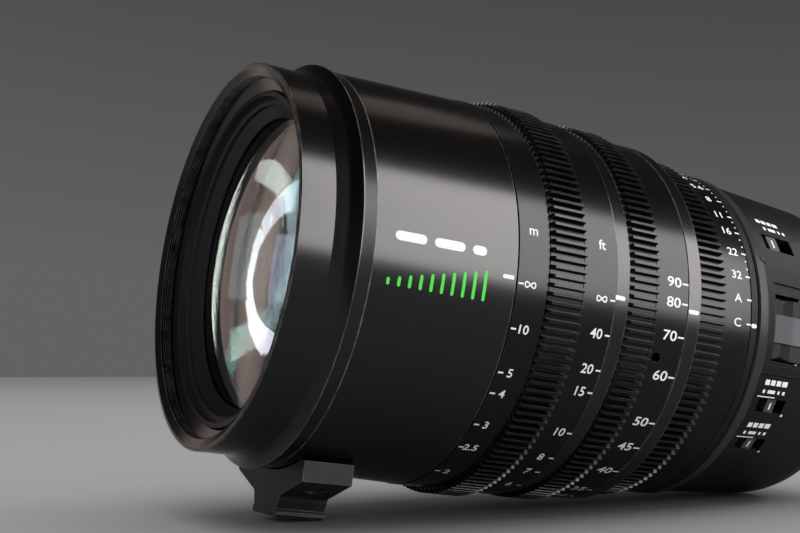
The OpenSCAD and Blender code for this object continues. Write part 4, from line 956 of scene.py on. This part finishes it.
def printedDotsTree():
    tree, given, result = groupTree(
        "printedDots",
        [("Geometry", "NodeSocketGeometry", None), ("Radius", "NodeSocketFloat", 0.0003),
         ("Depth", "NodeSocketFloat", 0.0001), ("Material", "NodeSocketMaterial", None)],
        [("Geometry", "NodeSocketGeometry")], "GeometryNodeTree")
    place = grow(tree, "GeometryNodeInputPosition", {})
    outward = tree.nodes.new("ShaderNodeVectorMath")
    outward.operation = "MULTIPLY"
    tree.links.new(place, outward.inputs[0])
    outward.inputs[1].default_value = (0, 1, 1)
    disc = grow(tree, "GeometryNodeMeshCylinder",
                {"Vertices": stopDots["corners"], "Radius": given.outputs["Radius"],
                 "Depth": given.outputs["Depth"]})
    standingCopies(tree, given, disc, outward.outputs[0], result)
    return tree


def threadTree():
    tree, given, result = groupTree(
        "cutThread",
        [("Geometry", "NodeSocketGeometry", None), ("Radius", "NodeSocketFloat", 0.003),
         ("Length", "NodeSocketFloat", 0.003), ("Turns", "NodeSocketFloat", 4.0),
         ("Ridge", "NodeSocketFloat", 0.0003), ("Points", "NodeSocketInt", 48),
         ("Direction", "NodeSocketVector", (0, 0, 1)), ("Material", "NodeSocketMaterial", None)],
        [("Geometry", "NodeSocketGeometry")], "GeometryNodeTree")
    spiral = grow(tree, "GeometryNodeCurveSpiral",
                  {"Resolution": given.outputs["Points"], "Rotations": given.outputs["Turns"],
                   "Start Radius": given.outputs["Radius"], "End Radius": given.outputs["Radius"],
                   "Height": given.outputs["Length"]})
    ridge = grow(tree, "GeometryNodeCurvePrimitiveCircle",
                 {"Resolution": 4, "Radius": given.outputs["Ridge"]})
    sweep = grow(tree, "GeometryNodeCurveToMesh", {"Curve": spiral, "Profile Curve": ridge,
                                                   "Fill Caps": True})
    standingCopies(tree, given, sweep, given.outputs["Direction"], result)
    return tree


# Dots between the iris ring's numbers
stopDots = {"station": 153.4 * mm, "firstMark": 2, "radius": 0.28 * mm, "corners": 14}


def thirdStopDots():
    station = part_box("front_ring")[0].x + stopDots["station"]
    angles = [angle for _, angle in irisScale["marks"][stopDots["firstMark"]:]]
    places = []
    for a, b in zip(angles, angles[1:]):
        for share in (1 / 3, 2 / 3):
            angle = a + (b - a) * share
            places.append(lathePlace(station, angle, surfaceRadius("iris_ring", station, angle)))
    grownPiece("thirdStopDots", places, printedDotsTree(),
               {"Radius": stopDots["radius"], "Depth": 2 * printing["thickness"],
                "Material": paint["white"]}, "iris_drive")


# The lever hole: its place on the zoom ring, where the ring's surface is measured beside it, and its depth
leverHole = {"station": 13.2 * mm, "angle": 104.4, "beside": 2.2 * mm, "depth": 2.9 * mm}
threadInset = {"filter": 1.5 * mm, "foot": 0.5 * mm}


# Threads: start and direction of the axis, radius, length, turns, ridge, points a turn, finish, body
def cutThreads():
    tree = threadTree()
    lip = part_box("front_ring")[0].x
    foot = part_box("support_foot")
    footMiddle = (foot[0].x + foot[1].x) / 2
    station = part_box("zoom_ring")[0].x + leverHole["station"]
    outward = lathePlace(0.0, leverHole["angle"], 1.0)
    beside = surfaceRadius("zoom_ring", station + leverHole["beside"], leverHole["angle"])
    floor = outward * (beside - leverHole["depth"])
    threads = [
        ("filterThread", (lip + threadInset["filter"], 0, 0), (1, 0, 0),
         53.48, 2.4, 3.2, 0.34, 160, "barrel", "housing"),
        ("footThread", (footMiddle, 0, foot[0].z + threadInset["foot"]), (0, 0, 1),
         3.19, 8.2, 6.5, 0.42, 36, "foot", "housing"),
        ("leverThread", (station, floor.y, floor.z), tuple(outward),
         1.61, 2.5, 5.0, 0.2, 28, "ring", "zoom_drive"),
    ]
    for name, start, direction, radius, length, turns, ridge, points, finish, body in threads:
        grownPiece(name, [start], tree,
                   {"Radius": radius * mm, "Length": length * mm, "Turns": turns, "Ridge": ridge * mm,
                    "Points": points, "Direction": direction, "Material": finishes[finish]}, body)


setCamera()
studioWorld()
studioLamps(studioFloor())
print("studio set")
dressNodes()
printedScale("focusScale", [metreScale, footScale])
printedScale("zoomScale", [zoomScale])
printedScale("irisScale", [irisScale])
printedIndexes()
longDashes()
climbingBars()
printedControls()
thirdStopDots()
cutThreads()
print("scales and marks printed")

bpy.context.scene.view_settings.view_transform = "Standard"
